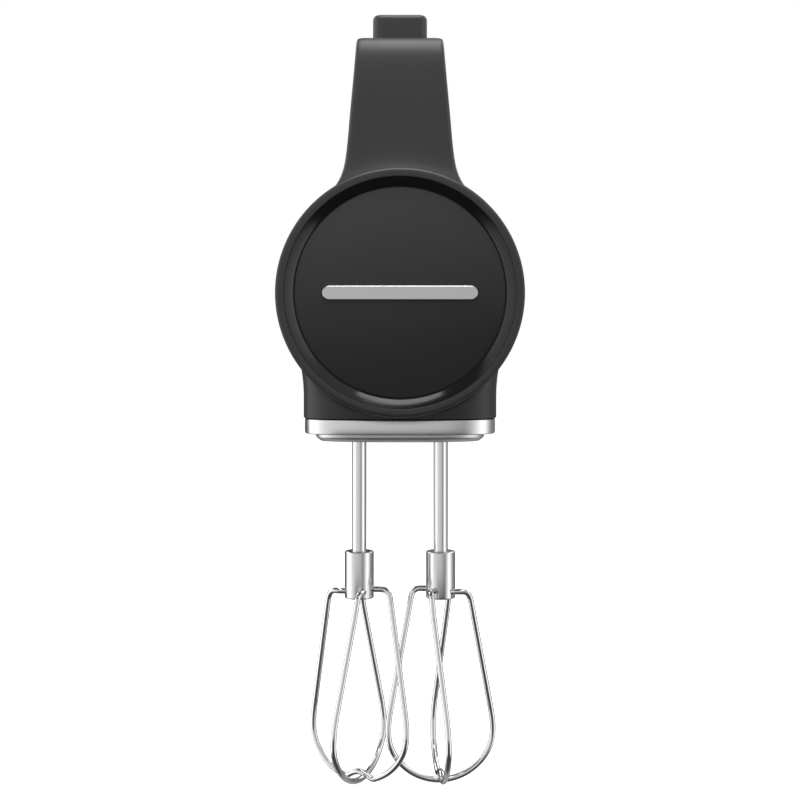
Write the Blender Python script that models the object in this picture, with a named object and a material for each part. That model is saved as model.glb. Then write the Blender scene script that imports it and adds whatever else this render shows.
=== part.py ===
"""Cordless hand mixer: one Blender object for each physical piece, in metres, Z up.

The origin is the centre of the base plate's underside, midway between the two beater spindles.
X runs across the mixer, Y from its round nose to its battery, and Z from the beaters to the handle.
"""

import math

import bmesh
import bpy
from mathutils import Matrix, Vector

MM = 0.001

# ---- Driving dimensions ------------------------------------------------------------------------
FIT = 0.3 * MM  # gap between neighbouring fixed pieces
RUN_FIT = 0.15 * MM  # radial clearance of what turns or slides in a bore
SHELL_WALL = 2.0 * MM

# Housing: barrel, skirt and handle
BARREL_UNDERSIDE_Z = 14.2 * MM
BARREL_FRONT_Y = -49 * MM
BARREL_REAR_Y = 88 * MM
REAR_RISE = 2.3 * MM  # the barrel's rear end is centred this much higher than its front
REAR_MARGIN = 3.05 * MM  # the barrel's rear end is this much wider than the battery, each side
COLUMN_FRONT_Y = -46.6 * MM
COLUMN_BACK_Y = -17.5 * MM
COLUMN_BASE_HALF_WIDTH = 21.9 * MM
FOOT_FLARE = 3.8 * MM
FOOT_SPREAD = 5 * MM
FOOT_RISE = 3.6 * MM
FOOT_HEIGHT = 3.4 * MM
HANDLE_RISE = 57.5 * MM  # from the top of the barrel to the top of the handle
HANDLE_THICKNESS = 27 * MM
HANDLE_HALF_WIDTH = 17.4 * MM
HANDLE_INNER_NARROWING = 1.2 * MM
HANDLE_OUTER_CORNER = 4 * MM
HANDLE_INNER_CORNER = 7 * MM
REAR_LEG_DEPTH = 24 * MM
REAR_LEG_MARGIN = 3 * MM  # behind the rear leg, on the barrel
SKIRT_MARGIN = 7 * MM  # each side, from the gear frame to the outside of the skirt
BARREL_OVERHANG = 5.5 * MM  # each side, from the skirt to the barrel's widest
SKIRT_NARROWING = 4.5 * MM  # each side, from the skirt's front to its rear
SKIRT_FRONT_Y = -33 * MM
SKIRT_BOW = 3 * MM
SKIRT_CORNER_IN = 1.5 * MM
SKIRT_CORNER_BACK = 4 * MM
SKIRT_REAR_Y = 50 * MM

VENT_COUNT = 5
VENT_WIDTH = 1.8 * MM
VENT_HEIGHT = 20 * MM
VENT_PITCH = 4.4 * MM
VENT_FRONT_Y = 40 * MM

# Base: a bright band with a plate inside it
PLATE_THICKNESS = 3.2 * MM
BAND_HEIGHT = 6.2 * MM
BAND_WALL = 2.2 * MM
BAND_INSET = 0.5 * MM
LIP_INSET = 4.4 * MM
LIP_CHAMFER = 2.6 * MM
FLANGE_THICKNESS = 3 * MM
SCREW_PLACES = ((-24, -22.5), (24, -22.5), (-22, 35), (22, 35))

# Nose
NOSE_OVERHANG = 2.5 * MM
NOSE_LENGTH = 13 * MM
NOSE_RIM = 3.6 * MM
CONE_DEPTH = 2.3 * MM
CONE_WIDTH = 2.8 * MM
DISC_GAP = 0.5 * MM
DISC_THICKNESS = 2.4 * MM
BADGE_LENGTH = 60 * MM
BADGE_HEIGHT = 5.6 * MM
BADGE_THICKNESS = 0.8 * MM

# Drive: one worm between two wheels
SPINDLE_X = 17.1 * MM
DRIVE_DROP = 17.7 * MM  # from the barrel's axis down to the motor's
GEAR_TEETH = 26
GEAR_MODULE = 1.0 * MM
GEAR_FACE = 7 * MM
TOOTH_WIDTH = 1.15 * MM
WORM_LENGTH = 14 * MM
SPINDLE_WALL = 1.7 * MM
SPINDLE_BOTTOM_Z = 4 * MM
SPINDLE_ABOVE_CAP = 3.5 * MM
BUSH_WALL = 1.6 * MM
FRAME_SIDE_MARGIN = 2.9 * MM  # past the wheels' pitch circles
FRAME_HALF_DEPTH = 20 * MM
FRAME_WALL = 3 * MM
CAP_HEADROOM = 2.9 * MM  # above the worm's pitch cylinder
WORM_END_RADIUS = 3.2 * MM
MOTOR_BOSS_RADIUS = 3.4 * MM
BOSS_HOLE_MARGIN = 1.8 * MM
MOTOR_RADIUS = 18 * MM
MOTOR_LENGTH = 50 * MM
MOTOR_WALL = 1.4 * MM
MOTOR_SHAFT_RADIUS = 1.6 * MM
ARMATURE_RADIUS = 11.8 * MM
MAGNET_THICKNESS = 3.6 * MM

# Ejector
EJECT_TRAVEL = 7.5 * MM
BUTTON_WIDTH = 21.8 * MM
BUTTON_DEPTH = 22 * MM
BUTTON_PROUD = 9.7 * MM
BUTTON_Y = -20.5 * MM
PIN_HEAD_RIM = 2.2 * MM
PIN_HEAD_HEIGHT = 2.5 * MM
FORK_THICKNESS = 3 * MM
EJECT_SPRING_RADIUS = 4 * MM
EJECT_SPRING_WIRE = 0.6 * MM
EJECT_SPRING_TURNS = 5
EJECT_SPRING_Y = -13 * MM

# Speed slider, its panel and its board
PANEL_FRONT_Y = -4 * MM
PANEL_HALF_WIDTH = 12.5 * MM
PANEL_CORNER = 4 * MM
PANEL_REAR_MARGIN = 1 * MM  # between the panel and the rear leg's front
SLIDER_REST_Y = 10 * MM
SLIDER_TRAVEL = 21 * MM
SLIDER_LENGTH = 13 * MM
SLIDER_WIDTH = 14 * MM
SLIDER_PROUD = 4 * MM
SLIDER_STEM_LENGTH = 7 * MM
SLIDER_STEM_WIDTH = 6 * MM
BOARD_THICKNESS = 1.6 * MM
BOARD_ABOVE_MOTOR = 20 * MM

# Battery
CELL_RADIUS = 9.15 * MM
CELL_LENGTH = 65 * MM
BATTERY_WALL = 2.2 * MM
BATTERY_CORNER = 7 * MM
CELL_END_SPACE = 5 * MM  # room for strips and insulators
TERMINAL_HALF_WIDTH = 9 * MM
TERMINAL_HALF_HEIGHT = 7 * MM
TERMINAL_REACH = 6 * MM
LATCH_TRAVEL = 2.2 * MM
LATCH_PROUD = 1.6 * MM
LATCH_HEIGHT = 12 * MM
LATCH_DEPTH = 9 * MM

# Beaters
SHAFT_RADIUS = 3 * MM
SHAFT_TOP_DROP = 4 * MM  # from the motor's axis down to the top of a beater shaft
LUG_PROUD = 1.2 * MM
LUG_THICKNESS = 1.6 * MM
LUG_Z = 12 * MM
LUG_HEIGHT = 5 * MM
HUB_WALL = 3.15 * MM
HUB_TOP_Z = -47.4 * MM
HUB_HEIGHT = 19.9 * MM
WIRE_RADIUS = 1.25 * MM
WIRE_HOLE_Z = -64 * MM
WIRE_BEND_RADIUS = 13.4 * MM
WIRE_BEND_Z = -70 * MM
BEATER_RADIUS = 22.7 * MM
BEATER_WIDEST_Z = -121.4 * MM
BEATER_BOTTOM_Z = -143.6 * MM
CROSSING_LIFT = 3.4 * MM
CROSSING_REACH = 6.5 * MM
WIRE_BEND = 4.2 * MM
OVAL_LEAD_IN = 10 * MM  # how far above its widest place a wire starts to curve
OVAL_START = math.radians(26)
TWIST_TO_BEND = math.radians(22)
TWIST_TO_WIDEST = math.radians(45.5)
LEFT_HOLE_ANGLE = math.radians(18)
RIGHT_HOLE_ANGLE = math.radians(52)

# ---- Sizes that follow -------------------------------------------------------------------------
GEAR_PITCH_RADIUS = GEAR_TEETH * GEAR_MODULE / 2
FRAME_HALF_WIDTH = SPINDLE_X + GEAR_PITCH_RADIUS + FRAME_SIDE_MARGIN
SKIRT_HALF_WIDTH = FRAME_HALF_WIDTH + SKIRT_MARGIN
SKIRT_REAR_HALF_WIDTH = SKIRT_HALF_WIDTH - SKIRT_NARROWING
BARREL_RADIUS = SKIRT_HALF_WIDTH + BARREL_OVERHANG
BARREL_AXIS_Z = BARREL_UNDERSIDE_Z + BARREL_RADIUS
BARREL_TOP_Z = BARREL_AXIS_Z + BARREL_RADIUS
HANDLE_TOP_Z = BARREL_TOP_Z + HANDLE_RISE
REAR_AXIS_Z = BARREL_AXIS_Z + REAR_RISE
REAR_LEG_BACK_Y = BARREL_REAR_Y - REAR_LEG_MARGIN
REAR_LEG_FRONT_Y = REAR_LEG_BACK_Y - REAR_LEG_DEPTH
PANEL_REAR_Y = REAR_LEG_FRONT_Y - PANEL_REAR_MARGIN
DRIVE_Z = BARREL_AXIS_Z - DRIVE_DROP
SHAFT_TOP_Z = DRIVE_Z - SHAFT_TOP_DROP
NOSE_RADIUS = BARREL_RADIUS + NOSE_OVERHANG
NOSE_FRONT_Y = BARREL_FRONT_Y - NOSE_LENGTH
DISC_RADIUS = NOSE_RADIUS - NOSE_RIM - CONE_WIDTH - DISC_GAP
LUG_REACH = SHAFT_RADIUS + LUG_PROUD
HUB_RADIUS = SHAFT_RADIUS + HUB_WALL
PIN_HEAD_RADIUS = SHAFT_RADIUS + PIN_HEAD_RIM
SPINDLE_BORE = SHAFT_RADIUS + FIT
SPINDLE_RADIUS = SPINDLE_BORE + SPINDLE_WALL
GEAR_PITCH = math.pi * GEAR_MODULE
TOOTH_RISE = 0.85 * GEAR_MODULE  # above the pitch line
GEAR_TOOTH_DEPTH = 1.15 * GEAR_MODULE  # below it
WORM_TOOTH_DEPTH = 1.1 * GEAR_MODULE
FLANK_SLOPE = math.tan(math.radians(20))
WORM_PITCH_RADIUS = SPINDLE_X - GEAR_PITCH_RADIUS
GEAR_TWIST = -GEAR_PITCH / (math.tau * WORM_PITCH_RADIUS) / GEAR_PITCH_RADIUS * GEAR_FACE
FRAME_CAP_Z = DRIVE_Z + WORM_PITCH_RADIUS + CAP_HEADROOM
SPINDLE_TOP_Z = FRAME_CAP_Z + FRAME_WALL + SPINDLE_ABOVE_CAP
MOTOR_FRONT_Y = FRAME_HALF_DEPTH + FIT
PIN_HEAD_Z = SPINDLE_TOP_Z + EJECT_TRAVEL + 0.5 * MM
FORK_Z = PIN_HEAD_Z + PIN_HEAD_HEIGHT + FIT
BAND_BOTTOM_Z = PLATE_THICKNESS
PLATE_TOP_Z = BAND_BOTTOM_Z + FLANGE_THICKNESS
FRAME_BOTTOM_Z = PLATE_TOP_Z + FIT
SKIRT_RIM_Z = BAND_BOTTOM_Z + BAND_HEIGHT + FIT
SPREAD = 3 / (2 + math.cos(math.tau / 16))  # control ring of 16 points to the circle it makes
BATTERY_FRONT_Y = BARREL_REAR_Y + 2 * FIT
CELL_PITCH = 2 * CELL_RADIUS + FIT
BATTERY_HALF_WIDTH = CELL_PITCH / 2 + CELL_RADIUS + FIT + BATTERY_WALL
BATTERY_DEPTH = CELL_PITCH * math.sqrt(3) / 2 + 2 * CELL_RADIUS + 2 * BATTERY_WALL + 3 * FIT
BATTERY_REAR_Y = BATTERY_FRONT_Y + BATTERY_DEPTH
BATTERY_HALF_HEIGHT = CELL_LENGTH / 2 + CELL_END_SPACE + BATTERY_WALL
REAR_HALF_WIDTH = BATTERY_HALF_WIDTH + REAR_MARGIN
REAR_HALF_HEIGHT = BATTERY_HALF_HEIGHT - 0.2 * MM
LATCH_Y = BATTERY_FRONT_Y + BATTERY_WALL + FIT + LATCH_DEPTH / 2 + 1 * MM


# ---- Materials and small tools -----------------------------------------------------------------
def material(name, colour, roughness, metallic=0.0):
    made = bpy.data.materials.new(name)
    made.use_nodes = True
    shader = made.node_tree.nodes["Principled BSDF"]
    shader.inputs["Base Color"].default_value = (*colour, 1)
    shader.inputs["Roughness"].default_value = roughness
    shader.inputs["Metallic"].default_value = metallic
    return made


LOOKS = {
    "charcoal": ((0.045, 0.044, 0.047), 0.42, 0.0),
    "gloss_black": ((0.012, 0.012, 0.013), 0.12, 0.0),
    "satin_black": ((0.03, 0.03, 0.032), 0.35, 0.0),
    "grey_plastic": ((0.2, 0.2, 0.21), 0.5, 0.0),
    "white_acetal": ((0.8, 0.79, 0.74), 0.45, 0.0),
    "stainless": ((0.72, 0.72, 0.73), 0.22, 1.0),
    "badge_silver": ((0.62, 0.63, 0.64), 0.3, 1.0),
    "steel": ((0.5, 0.5, 0.52), 0.35, 1.0),
    "dark_steel": ((0.16, 0.16, 0.17), 0.5, 1.0),
    "bronze": ((0.5, 0.32, 0.16), 0.45, 1.0),
    "copper": ((0.75, 0.36, 0.2), 0.35, 1.0),
    "cell_wrap": ((0.1, 0.28, 0.3), 0.45, 0.0),
    "board_green": ((0.03, 0.15, 0.07), 0.5, 0.0),
    "ferrite": ((0.06, 0.06, 0.06), 0.7, 0.0),
}


def add_object(name, mesh, look):
    obj = bpy.data.objects.new(name, mesh)
    bpy.context.scene.collection.objects.link(obj)
    obj.data.materials.append(material(name, *LOOKS[look]))
    return obj


def from_bmesh(name, bm, look, smooth_angle=None):
    mesh = bpy.data.meshes.new(name)
    bm.to_mesh(mesh)
    bm.free()
    if smooth_angle is not None:
        mesh.shade_smooth()
        mesh.set_sharp_from_angle(angle=math.radians(smooth_angle))
    return add_object(name, mesh, look)


def lofted(name, loops, look, hollow=False, smooth_angle=40):
    """A solid through loops of equal length. A hollow one closes its last loop onto its first."""
    bm = bmesh.new()
    rings = [[bm.verts.new(point) for point in loop] for loop in loops]
    pairs = list(zip(rings, rings[1:]))
    if hollow:
        pairs.append((rings[-1], rings[0]))
    else:
        bm.faces.new(reversed(rings[0]))
        bm.faces.new(rings[-1])
    count = len(loops[0])
    for low, high in pairs:
        for i in range(count):
            j = (i + 1) % count
            bm.faces.new((low[i], low[j], high[j], high[i]))
    bmesh.ops.recalc_face_normals(bm, faces=bm.faces)
    return from_bmesh(name, bm, look, smooth_angle)


def turned(name, profile, look, steps=32, centre=(0, 0, 0), along_y=False):
    """A turned solid. The profile's (radius, height) points run down its outer side, top to bottom.

    A profile that starts and ends on the axis makes a solid; any other is closed and makes a ring.
    Along Y, height runs from the nose to the battery.
    """
    mesh = bpy.data.meshes.new(name)
    count = len(profile)
    on_axis = profile[0][0] == 0
    edges = [(i, (i + 1) % count) for i in range(count - 1 if on_axis else count)]
    mesh.from_pydata([(radius, 0, height) for radius, height in profile], edges, [])
    obj = add_object(name, mesh, look)
    screw = obj.modifiers.new("Screw", "SCREW")
    screw.steps = screw.render_steps = steps
    screw.use_merge_vertices = True
    screw.merge_threshold = 0.01 * MM
    obj.location = centre
    if along_y:
        obj.rotation_euler = (-math.pi / 2, 0, 0)
    return obj


def tube_profile(outer, inner, low, high):
    return [(outer, high), (outer, low), (inner, low), (inner, high)]


def rod_profile(radius, low, high, chamfer):
    return [(0, high), (radius - chamfer, high), (radius, high - chamfer),
            (radius, low + chamfer), (radius - chamfer, low), (0, low)]


def rounded_rectangle(half_x, half_y, corner, per_corner=4):
    """Points round a rectangle, as (x, y) pairs, anticlockwise."""
    points = []
    for quarter in range(4):
        sign_x = 1 if quarter in (0, 3) else -1
        sign_y = 1 if quarter in (0, 1) else -1
        for i in range(per_corner + 1):
            angle = math.pi / 2 * (quarter + i / per_corner)
            points.append((sign_x * (half_x - corner) + corner * math.cos(angle),
                           sign_y * (half_y - corner) + corner * math.sin(angle)))
    return points


def box(name, low, high, look):
    """A plain block between two corners."""
    bm = bmesh.new()
    bmesh.ops.create_cube(bm, size=1)
    low, high = Vector(low), Vector(high)
    bmesh.ops.scale(bm, vec=high - low, verts=bm.verts)
    bmesh.ops.translate(bm, vec=(low + high) / 2, verts=bm.verts)
    return from_bmesh(name, bm, look)


def bevelled(obj, width):
    bevel = obj.modifiers.new("Bevel", "BEVEL")
    bevel.width = width
    bevel.limit_method = "ANGLE"


def helper(obj):
    """Marks an object as a cutter or a guide, which is no piece of the mixer."""
    obj.hide_render = True
    obj.display_type = "WIRE"
    return obj


def boolean(obj, other, operation="DIFFERENCE"):
    made = obj.modifiers.new(operation.title(), "BOOLEAN")
    made.operation = operation
    made.object = helper(other)
    made.solver = "EXACT"
    return obj


def drill(obj, name, radius, centre, length, axis="Z", steps=24):
    """Cuts a round hole of this length, centred on a point, along one axis."""
    bm = bmesh.new()
    bmesh.ops.create_cone(bm, cap_ends=True, segments=steps, radius1=radius, radius2=radius, depth=length)
    turn = {"X": Matrix.Rotation(math.pi / 2, 3, "Y"), "Y": Matrix.Rotation(math.pi / 2, 3, "X"),
            "Z": Matrix.Identity(3)}[axis]
    bmesh.ops.rotate(bm, cent=(0, 0, 0), matrix=turn, verts=bm.verts)
    bmesh.ops.translate(bm, vec=centre, verts=bm.verts)
    return boolean(obj, from_bmesh(name, bm, "grey_plastic"))


def wire(name, points, radius, look, resolution=2):
    """A round wire along points, with closed ends."""
    curve = bpy.data.curves.new(name, "CURVE")
    curve.dimensions = "3D"
    curve.bevel_depth = radius
    curve.bevel_resolution = resolution
    curve.use_fill_caps = True
    spline = curve.splines.new("POLY")
    spline.points.add(len(points) - 1)
    for place, point in zip(spline.points, points):
        place.co = (*point, 1)
    return add_object(name, curve, look)


def spline_loop(points, per_span=2):
    """The closed cubic B-spline of a control loop, which is the edge a subdivided surface ends on."""
    count = len(points)
    made = []
    for i in range(count):
        a, b, c, d = (Vector(points[(i + k) % count]) for k in range(-1, 3))
        for step in range(per_span):
            t = step / per_span
            made.append((a * (1 - t) ** 3 + b * (3 * t ** 3 - 6 * t ** 2 + 4)
                         + c * (-3 * t ** 3 + 3 * t ** 2 + 3 * t + 1) + d * t ** 3) / 6)
    return made


def inset(loop, distance):
    """A flat anticlockwise loop of (x, y) points moved inwards."""
    made = []
    count = len(loop)
    for i in range(count):
        before, after = Vector(loop[i - 1]), Vector(loop[(i + 1) % count])
        along = (after - before).normalized()
        made.append((loop[i][0] - along.y * distance, loop[i][1] + along.x * distance))
    return made


def shrunk(loop, distance):
    """A flat loop drawn in towards its middle, so that its sides move by this distance and no corner folds."""
    middle = [(min(values) + max(values)) / 2 for values in zip(*loop)]
    halves = [(max(values) - min(values)) / 2 for values in zip(*loop)]
    return [tuple(m + (value - m) * (1 - distance / half) for value, m, half in zip(point, middle, halves))
            for point in loop]


def at_height(loop, z):
    return [(x, y, z) for x, y in loop]


def at_depth(loop, y):
    return [(x, y, z) for x, z in loop]


# ---- Housing -----------------------------------------------------------------------------------
STATIONS = [BARREL_FRONT_Y, -45 * MM, -38 * MM, -27 * MM, COLUMN_BACK_Y, 6 * MM, 28 * MM,
            SKIRT_REAR_Y, REAR_LEG_FRONT_Y, REAR_LEG_FRONT_Y + 7 * MM, REAR_LEG_BACK_Y - 6 * MM,
            REAR_LEG_BACK_Y, BARREL_REAR_Y]
FRONT_LEG, REAR_LEG, SKIRT_ROWS = range(1, 5), range(8, 12), range(3, 8)
TOP_COLUMNS, BOTTOM_COLUMNS = (-2, -1, 0, 1, 2), (11, 10, 9, 8, 7, 6, 5)


def barrel_ring(y):
    """The 16 control points round the barrel at one station, clockwise from the top as seen from the nose."""
    t = max(0.0, (y - COLUMN_BACK_Y) / (BARREL_REAR_Y - COLUMN_BACK_Y))
    ease = t * t * (3 - 2 * t) * 0.6 + t * 0.4
    half_width = (BARREL_RADIUS + (REAR_HALF_WIDTH - BARREL_RADIUS) * ease) * SPREAD
    half_height = (BARREL_RADIUS + (REAR_HALF_HEIGHT - BARREL_RADIUS) * ease) * SPREAD
    axis_z = BARREL_AXIS_Z + (REAR_AXIS_Z - BARREL_AXIS_Z) * ease
    power = 1 - 0.26 * ease
    ring = []
    for k in range(16):
        side, up = math.sin(math.tau * k / 16), math.cos(math.tau * k / 16)
        ring.append((half_width * math.copysign(abs(side) ** power, side), y,
                     axis_z + half_height * math.copysign(abs(up) ** power, up)))
    return ring


def handle_ring(outer, inner, half_width):
    """The 14 control points round the handle: outer edge left to right, side, inner edge back, side."""
    outer, inner = Vector((0, *outer)), Vector((0, *inner))
    depth = (inner - outer).length
    inner_width = half_width - HANDLE_INNER_NARROWING
    across = half_width - HANDLE_OUTER_CORNER
    inner_across = inner_width - HANDLE_INNER_CORNER
    sides = [outer.lerp(inner, HANDLE_OUTER_CORNER / depth), outer.lerp(inner, 1 - HANDLE_INNER_CORNER / depth)]
    ring = [outer + Vector((x, 0, 0)) for x in (-half_width, -across, 0, across, half_width)]
    ring += [side + Vector((half_width, 0, 0)) for side in sides]
    ring += [inner + Vector((x, 0, 0)) for x in (inner_width, inner_across, 0, -inner_across, -inner_width)]
    ring += [side + Vector((-half_width, 0, 0)) for side in reversed(sides)]
    return ring


def handle_rings():
    """Rings from the front column's foot, over the grip, to the rear leg's foot."""
    top, under = HANDLE_TOP_Z, HANDLE_TOP_Z - HANDLE_THICKNESS
    foot_z = BARREL_TOP_Z + 4 * MM
    taper_end = top - 6 * MM
    slope = (COLUMN_BASE_HALF_WIDTH - HANDLE_HALF_WIDTH) / (taper_end - foot_z)

    def width(z):
        return HANDLE_HALF_WIDTH + slope * max(0.0, taper_end - z)

    def over_barrel(ring, raised):
        """The ring laid over the round barrel."""
        for point in ring:
            point.z = BARREL_AXIS_Z + math.sqrt(BARREL_RADIUS ** 2 - point.x ** 2) + raised
        return ring

    front, back = COLUMN_FRONT_Y, COLUMN_BACK_Y
    leg_front, leg_back = REAR_LEG_FRONT_Y, BARREL_REAR_Y
    grip = HANDLE_HALF_WIDTH
    rear_z = REAR_AXIS_Z + REAR_HALF_HEIGHT

    def stretch(outer_y, outer_z, inner_y, inner_z, half_width):
        """A ring from its outer and inner places, in millimetres past the places named here."""
        return handle_ring((outer_y[0] + outer_y[1] * MM, outer_z[0] + outer_z[1] * MM),
                           (inner_y[0] + inner_y[1] * MM, inner_z[0] + inner_z[1] * MM), half_width)

    foot = handle_ring((front - FOOT_FLARE, foot_z), (back - 1.5 * MM, foot_z), width(foot_z) + FOOT_SPREAD)
    above = handle_ring((front, foot_z), (back - 2.2 * MM, foot_z), width(foot_z + FOOT_HEIGHT))
    return [
        over_barrel(foot, FOOT_RISE),
        over_barrel(above, FOOT_RISE + FOOT_HEIGHT),
        stretch((front, 0), (foot_z, 20), (back, -3.5), (foot_z, 16), width(foot_z + 20 * MM)),
        stretch((front, 0.3), (top, -15), (back, -1.5), (under, -4), width(top - 15 * MM)),
        stretch((front, 2.2), (top, -2.6), (back, 6), (under, -0.4), grip),
        stretch((front, 13), (top, 0), (back, 15), (under, 0), grip),
        stretch((PANEL_FRONT_Y, -2), (top, 0), (PANEL_FRONT_Y, 10), (under, 0), grip),
        stretch((PANEL_FRONT_Y, 34), (top, 0), (PANEL_FRONT_Y, 34), (under, -1), grip - 0.4 * MM),
        stretch((PANEL_REAR_Y, 0), (top, 0), (PANEL_REAR_Y, -6), (under, 0), grip - 0.6 * MM),
        stretch((leg_back, -4), (top, -5), (leg_front, 3), (under, -7), grip),
        stretch((leg_back, 7), (top, -24), (leg_front, 5), (under, -17), grip + 0.6 * MM),
        stretch((leg_back, 6), (rear_z, 14), (leg_front, 4), (rear_z, 8), grip + 1.5 * MM),
    ]


def skirt_plan():
    """The 20 control points round the skirt: front edge left to right, side, rear edge back, side."""
    front = []
    for k in range(-3, 4):
        front.append((SKIRT_HALF_WIDTH * k / 3, SKIRT_FRONT_Y - SKIRT_BOW * (1 - (k / 3) ** 2)))
    corner = (SKIRT_HALF_WIDTH - SKIRT_CORNER_IN, SKIRT_FRONT_Y + SKIRT_CORNER_BACK)
    front[0], front[-1] = (-corner[0], corner[1]), corner
    rear = [(SKIRT_REAR_HALF_WIDTH * k / 3, SKIRT_REAR_Y) for k in range(-3, 4)]
    sides = []
    for row in list(SKIRT_ROWS)[1:-1]:
        y = STATIONS[row]
        t = (y - SKIRT_FRONT_Y) / (SKIRT_REAR_Y - SKIRT_FRONT_Y)
        sides.append((SKIRT_HALF_WIDTH + (SKIRT_REAR_HALF_WIDTH - SKIRT_HALF_WIDTH) * t * t, y))
    return front + sides + rear[::-1] + [(-x, y) for x, y in sides[::-1]]


def patch_edge(rings, rows, columns):
    """The vertices round a patch of the barrel: first row, right side, last row back, left side."""
    rows = list(rows)
    edge = [rings[rows[0]][c] for c in columns]
    edge += [rings[r][columns[-1]] for r in rows[1:-1]]
    edge += [rings[rows[-1]][c] for c in reversed(columns)]
    edge += [rings[r][columns[0]] for r in reversed(rows[1:-1])]
    return edge


def housing_cage():
    """One open surface: the barrel, the skirt below it and the handle that loops over it."""
    bm = bmesh.new()
    rings = [[bm.verts.new(point) for point in barrel_ring(y)] for y in STATIONS]

    def in_patch(row, k, rows, columns):
        return row in rows[:-1] and k in {c % 16 for c in sorted(columns)[:-1]}

    patches = (FRONT_LEG, TOP_COLUMNS), (REAR_LEG, TOP_COLUMNS), (SKIRT_ROWS, BOTTOM_COLUMNS)
    for row in range(len(STATIONS) - 1):
        for k in range(16):
            if any(in_patch(row, k, *patch) for patch in patches):
                continue
            after = (k + 1) % 16
            bm.faces.new((rings[row][k], rings[row][after], rings[row + 1][after], rings[row + 1][k]))

    def bridge(loops):
        for low, high in zip(loops, loops[1:]):
            for i in range(len(low)):
                j = (i + 1) % len(low)
                bm.faces.new((low[i], low[j], high[j], high[i]))

    front_edge = patch_edge(rings, FRONT_LEG, TOP_COLUMNS)
    rear_edge = patch_edge(rings, reversed(REAR_LEG), TOP_COLUMNS)
    grip = [[bm.verts.new(point) for point in ring] for ring in handle_rings()]
    bridge([front_edge, *grip, rear_edge])

    skirt_edge = patch_edge(rings, SKIRT_ROWS, BOTTOM_COLUMNS)
    skirt = []
    for share in (0.5, 0.22, 0):
        skirt.append([bm.verts.new((x, y, SKIRT_RIM_Z + (edge.co.z - SKIRT_RIM_Z) * share))
                      for (x, y), edge in zip(skirt_plan(), skirt_edge)])
    bridge([skirt_edge, *skirt])
    bmesh.ops.recalc_face_normals(bm, faces=bm.faces)
    return bm


def prism_cutter(name, half_x, half_y, corner, centre_y, low, high):
    loop = [(x, y + centre_y) for x, y in rounded_rectangle(half_x, half_y, corner)]
    return lofted(name, [at_height(loop, low), at_height(loop, high)], "grey_plastic")


def vent_cutter():
    """A row of upright slots that passes through both sides of the barrel, beside the motor."""
    bm = bmesh.new()
    for i in range(VENT_COUNT):
        made = bmesh.ops.create_cube(bm, size=1)["verts"]
        bmesh.ops.scale(bm, vec=(4 * BARREL_RADIUS, VENT_WIDTH, VENT_HEIGHT), verts=made)
        bmesh.ops.translate(bm, vec=(0, VENT_FRONT_Y + VENT_PITCH * i, REAR_AXIS_Z), verts=made)
    return from_bmesh("vent_slots", bm, "grey_plastic")


def shelled(name):
    obj = from_bmesh(name, housing_cage(), "charcoal")
    obj.data.shade_smooth()
    subdivide = obj.modifiers.new("Subdivision", "SUBSURF")
    subdivide.levels = subdivide.render_levels = 1
    solidify = obj.modifiers.new("Solidify", "SOLIDIFY")
    solidify.thickness = SHELL_WALL
    solidify.offset = -1
    return obj


def build_housing():
    panel_y = (PANEL_FRONT_Y + PANEL_REAR_Y) / 2
    panel_half = (PANEL_REAR_Y - PANEL_FRONT_Y) / 2
    above, below = HANDLE_TOP_Z + 5 * MM, HANDLE_TOP_Z - 6 * MM
    shell = shelled("body_shell")
    boolean(shell, prism_cutter("panel_opening", PANEL_HALF_WIDTH, panel_half, PANEL_CORNER,
                                panel_y, below, above))
    boolean(shell, prism_cutter("button_opening", BUTTON_WIDTH / 2 + FIT, BUTTON_DEPTH / 2 + FIT, 4 * MM,
                                BUTTON_Y, below - 3 * MM, above))
    boolean(shell, vent_cutter())

    slider_y = SLIDER_REST_Y + SLIDER_TRAVEL / 2
    loop = [(x, y + panel_y) for x, y in rounded_rectangle(
        PANEL_HALF_WIDTH - FIT, panel_half - FIT, PANEL_CORNER - FIT)]
    cover = lofted("handle_cover", [at_height(loop, HANDLE_TOP_Z - SHELL_WALL), at_height(loop, HANDLE_TOP_Z)],
                   "satin_black")
    boolean(cover, prism_cutter(
        "slider_slot", SLIDER_STEM_WIDTH / 2 + FIT, (SLIDER_TRAVEL + SLIDER_STEM_LENGTH) / 2 + FIT, 2 * MM,
        slider_y, below, above))


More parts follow.
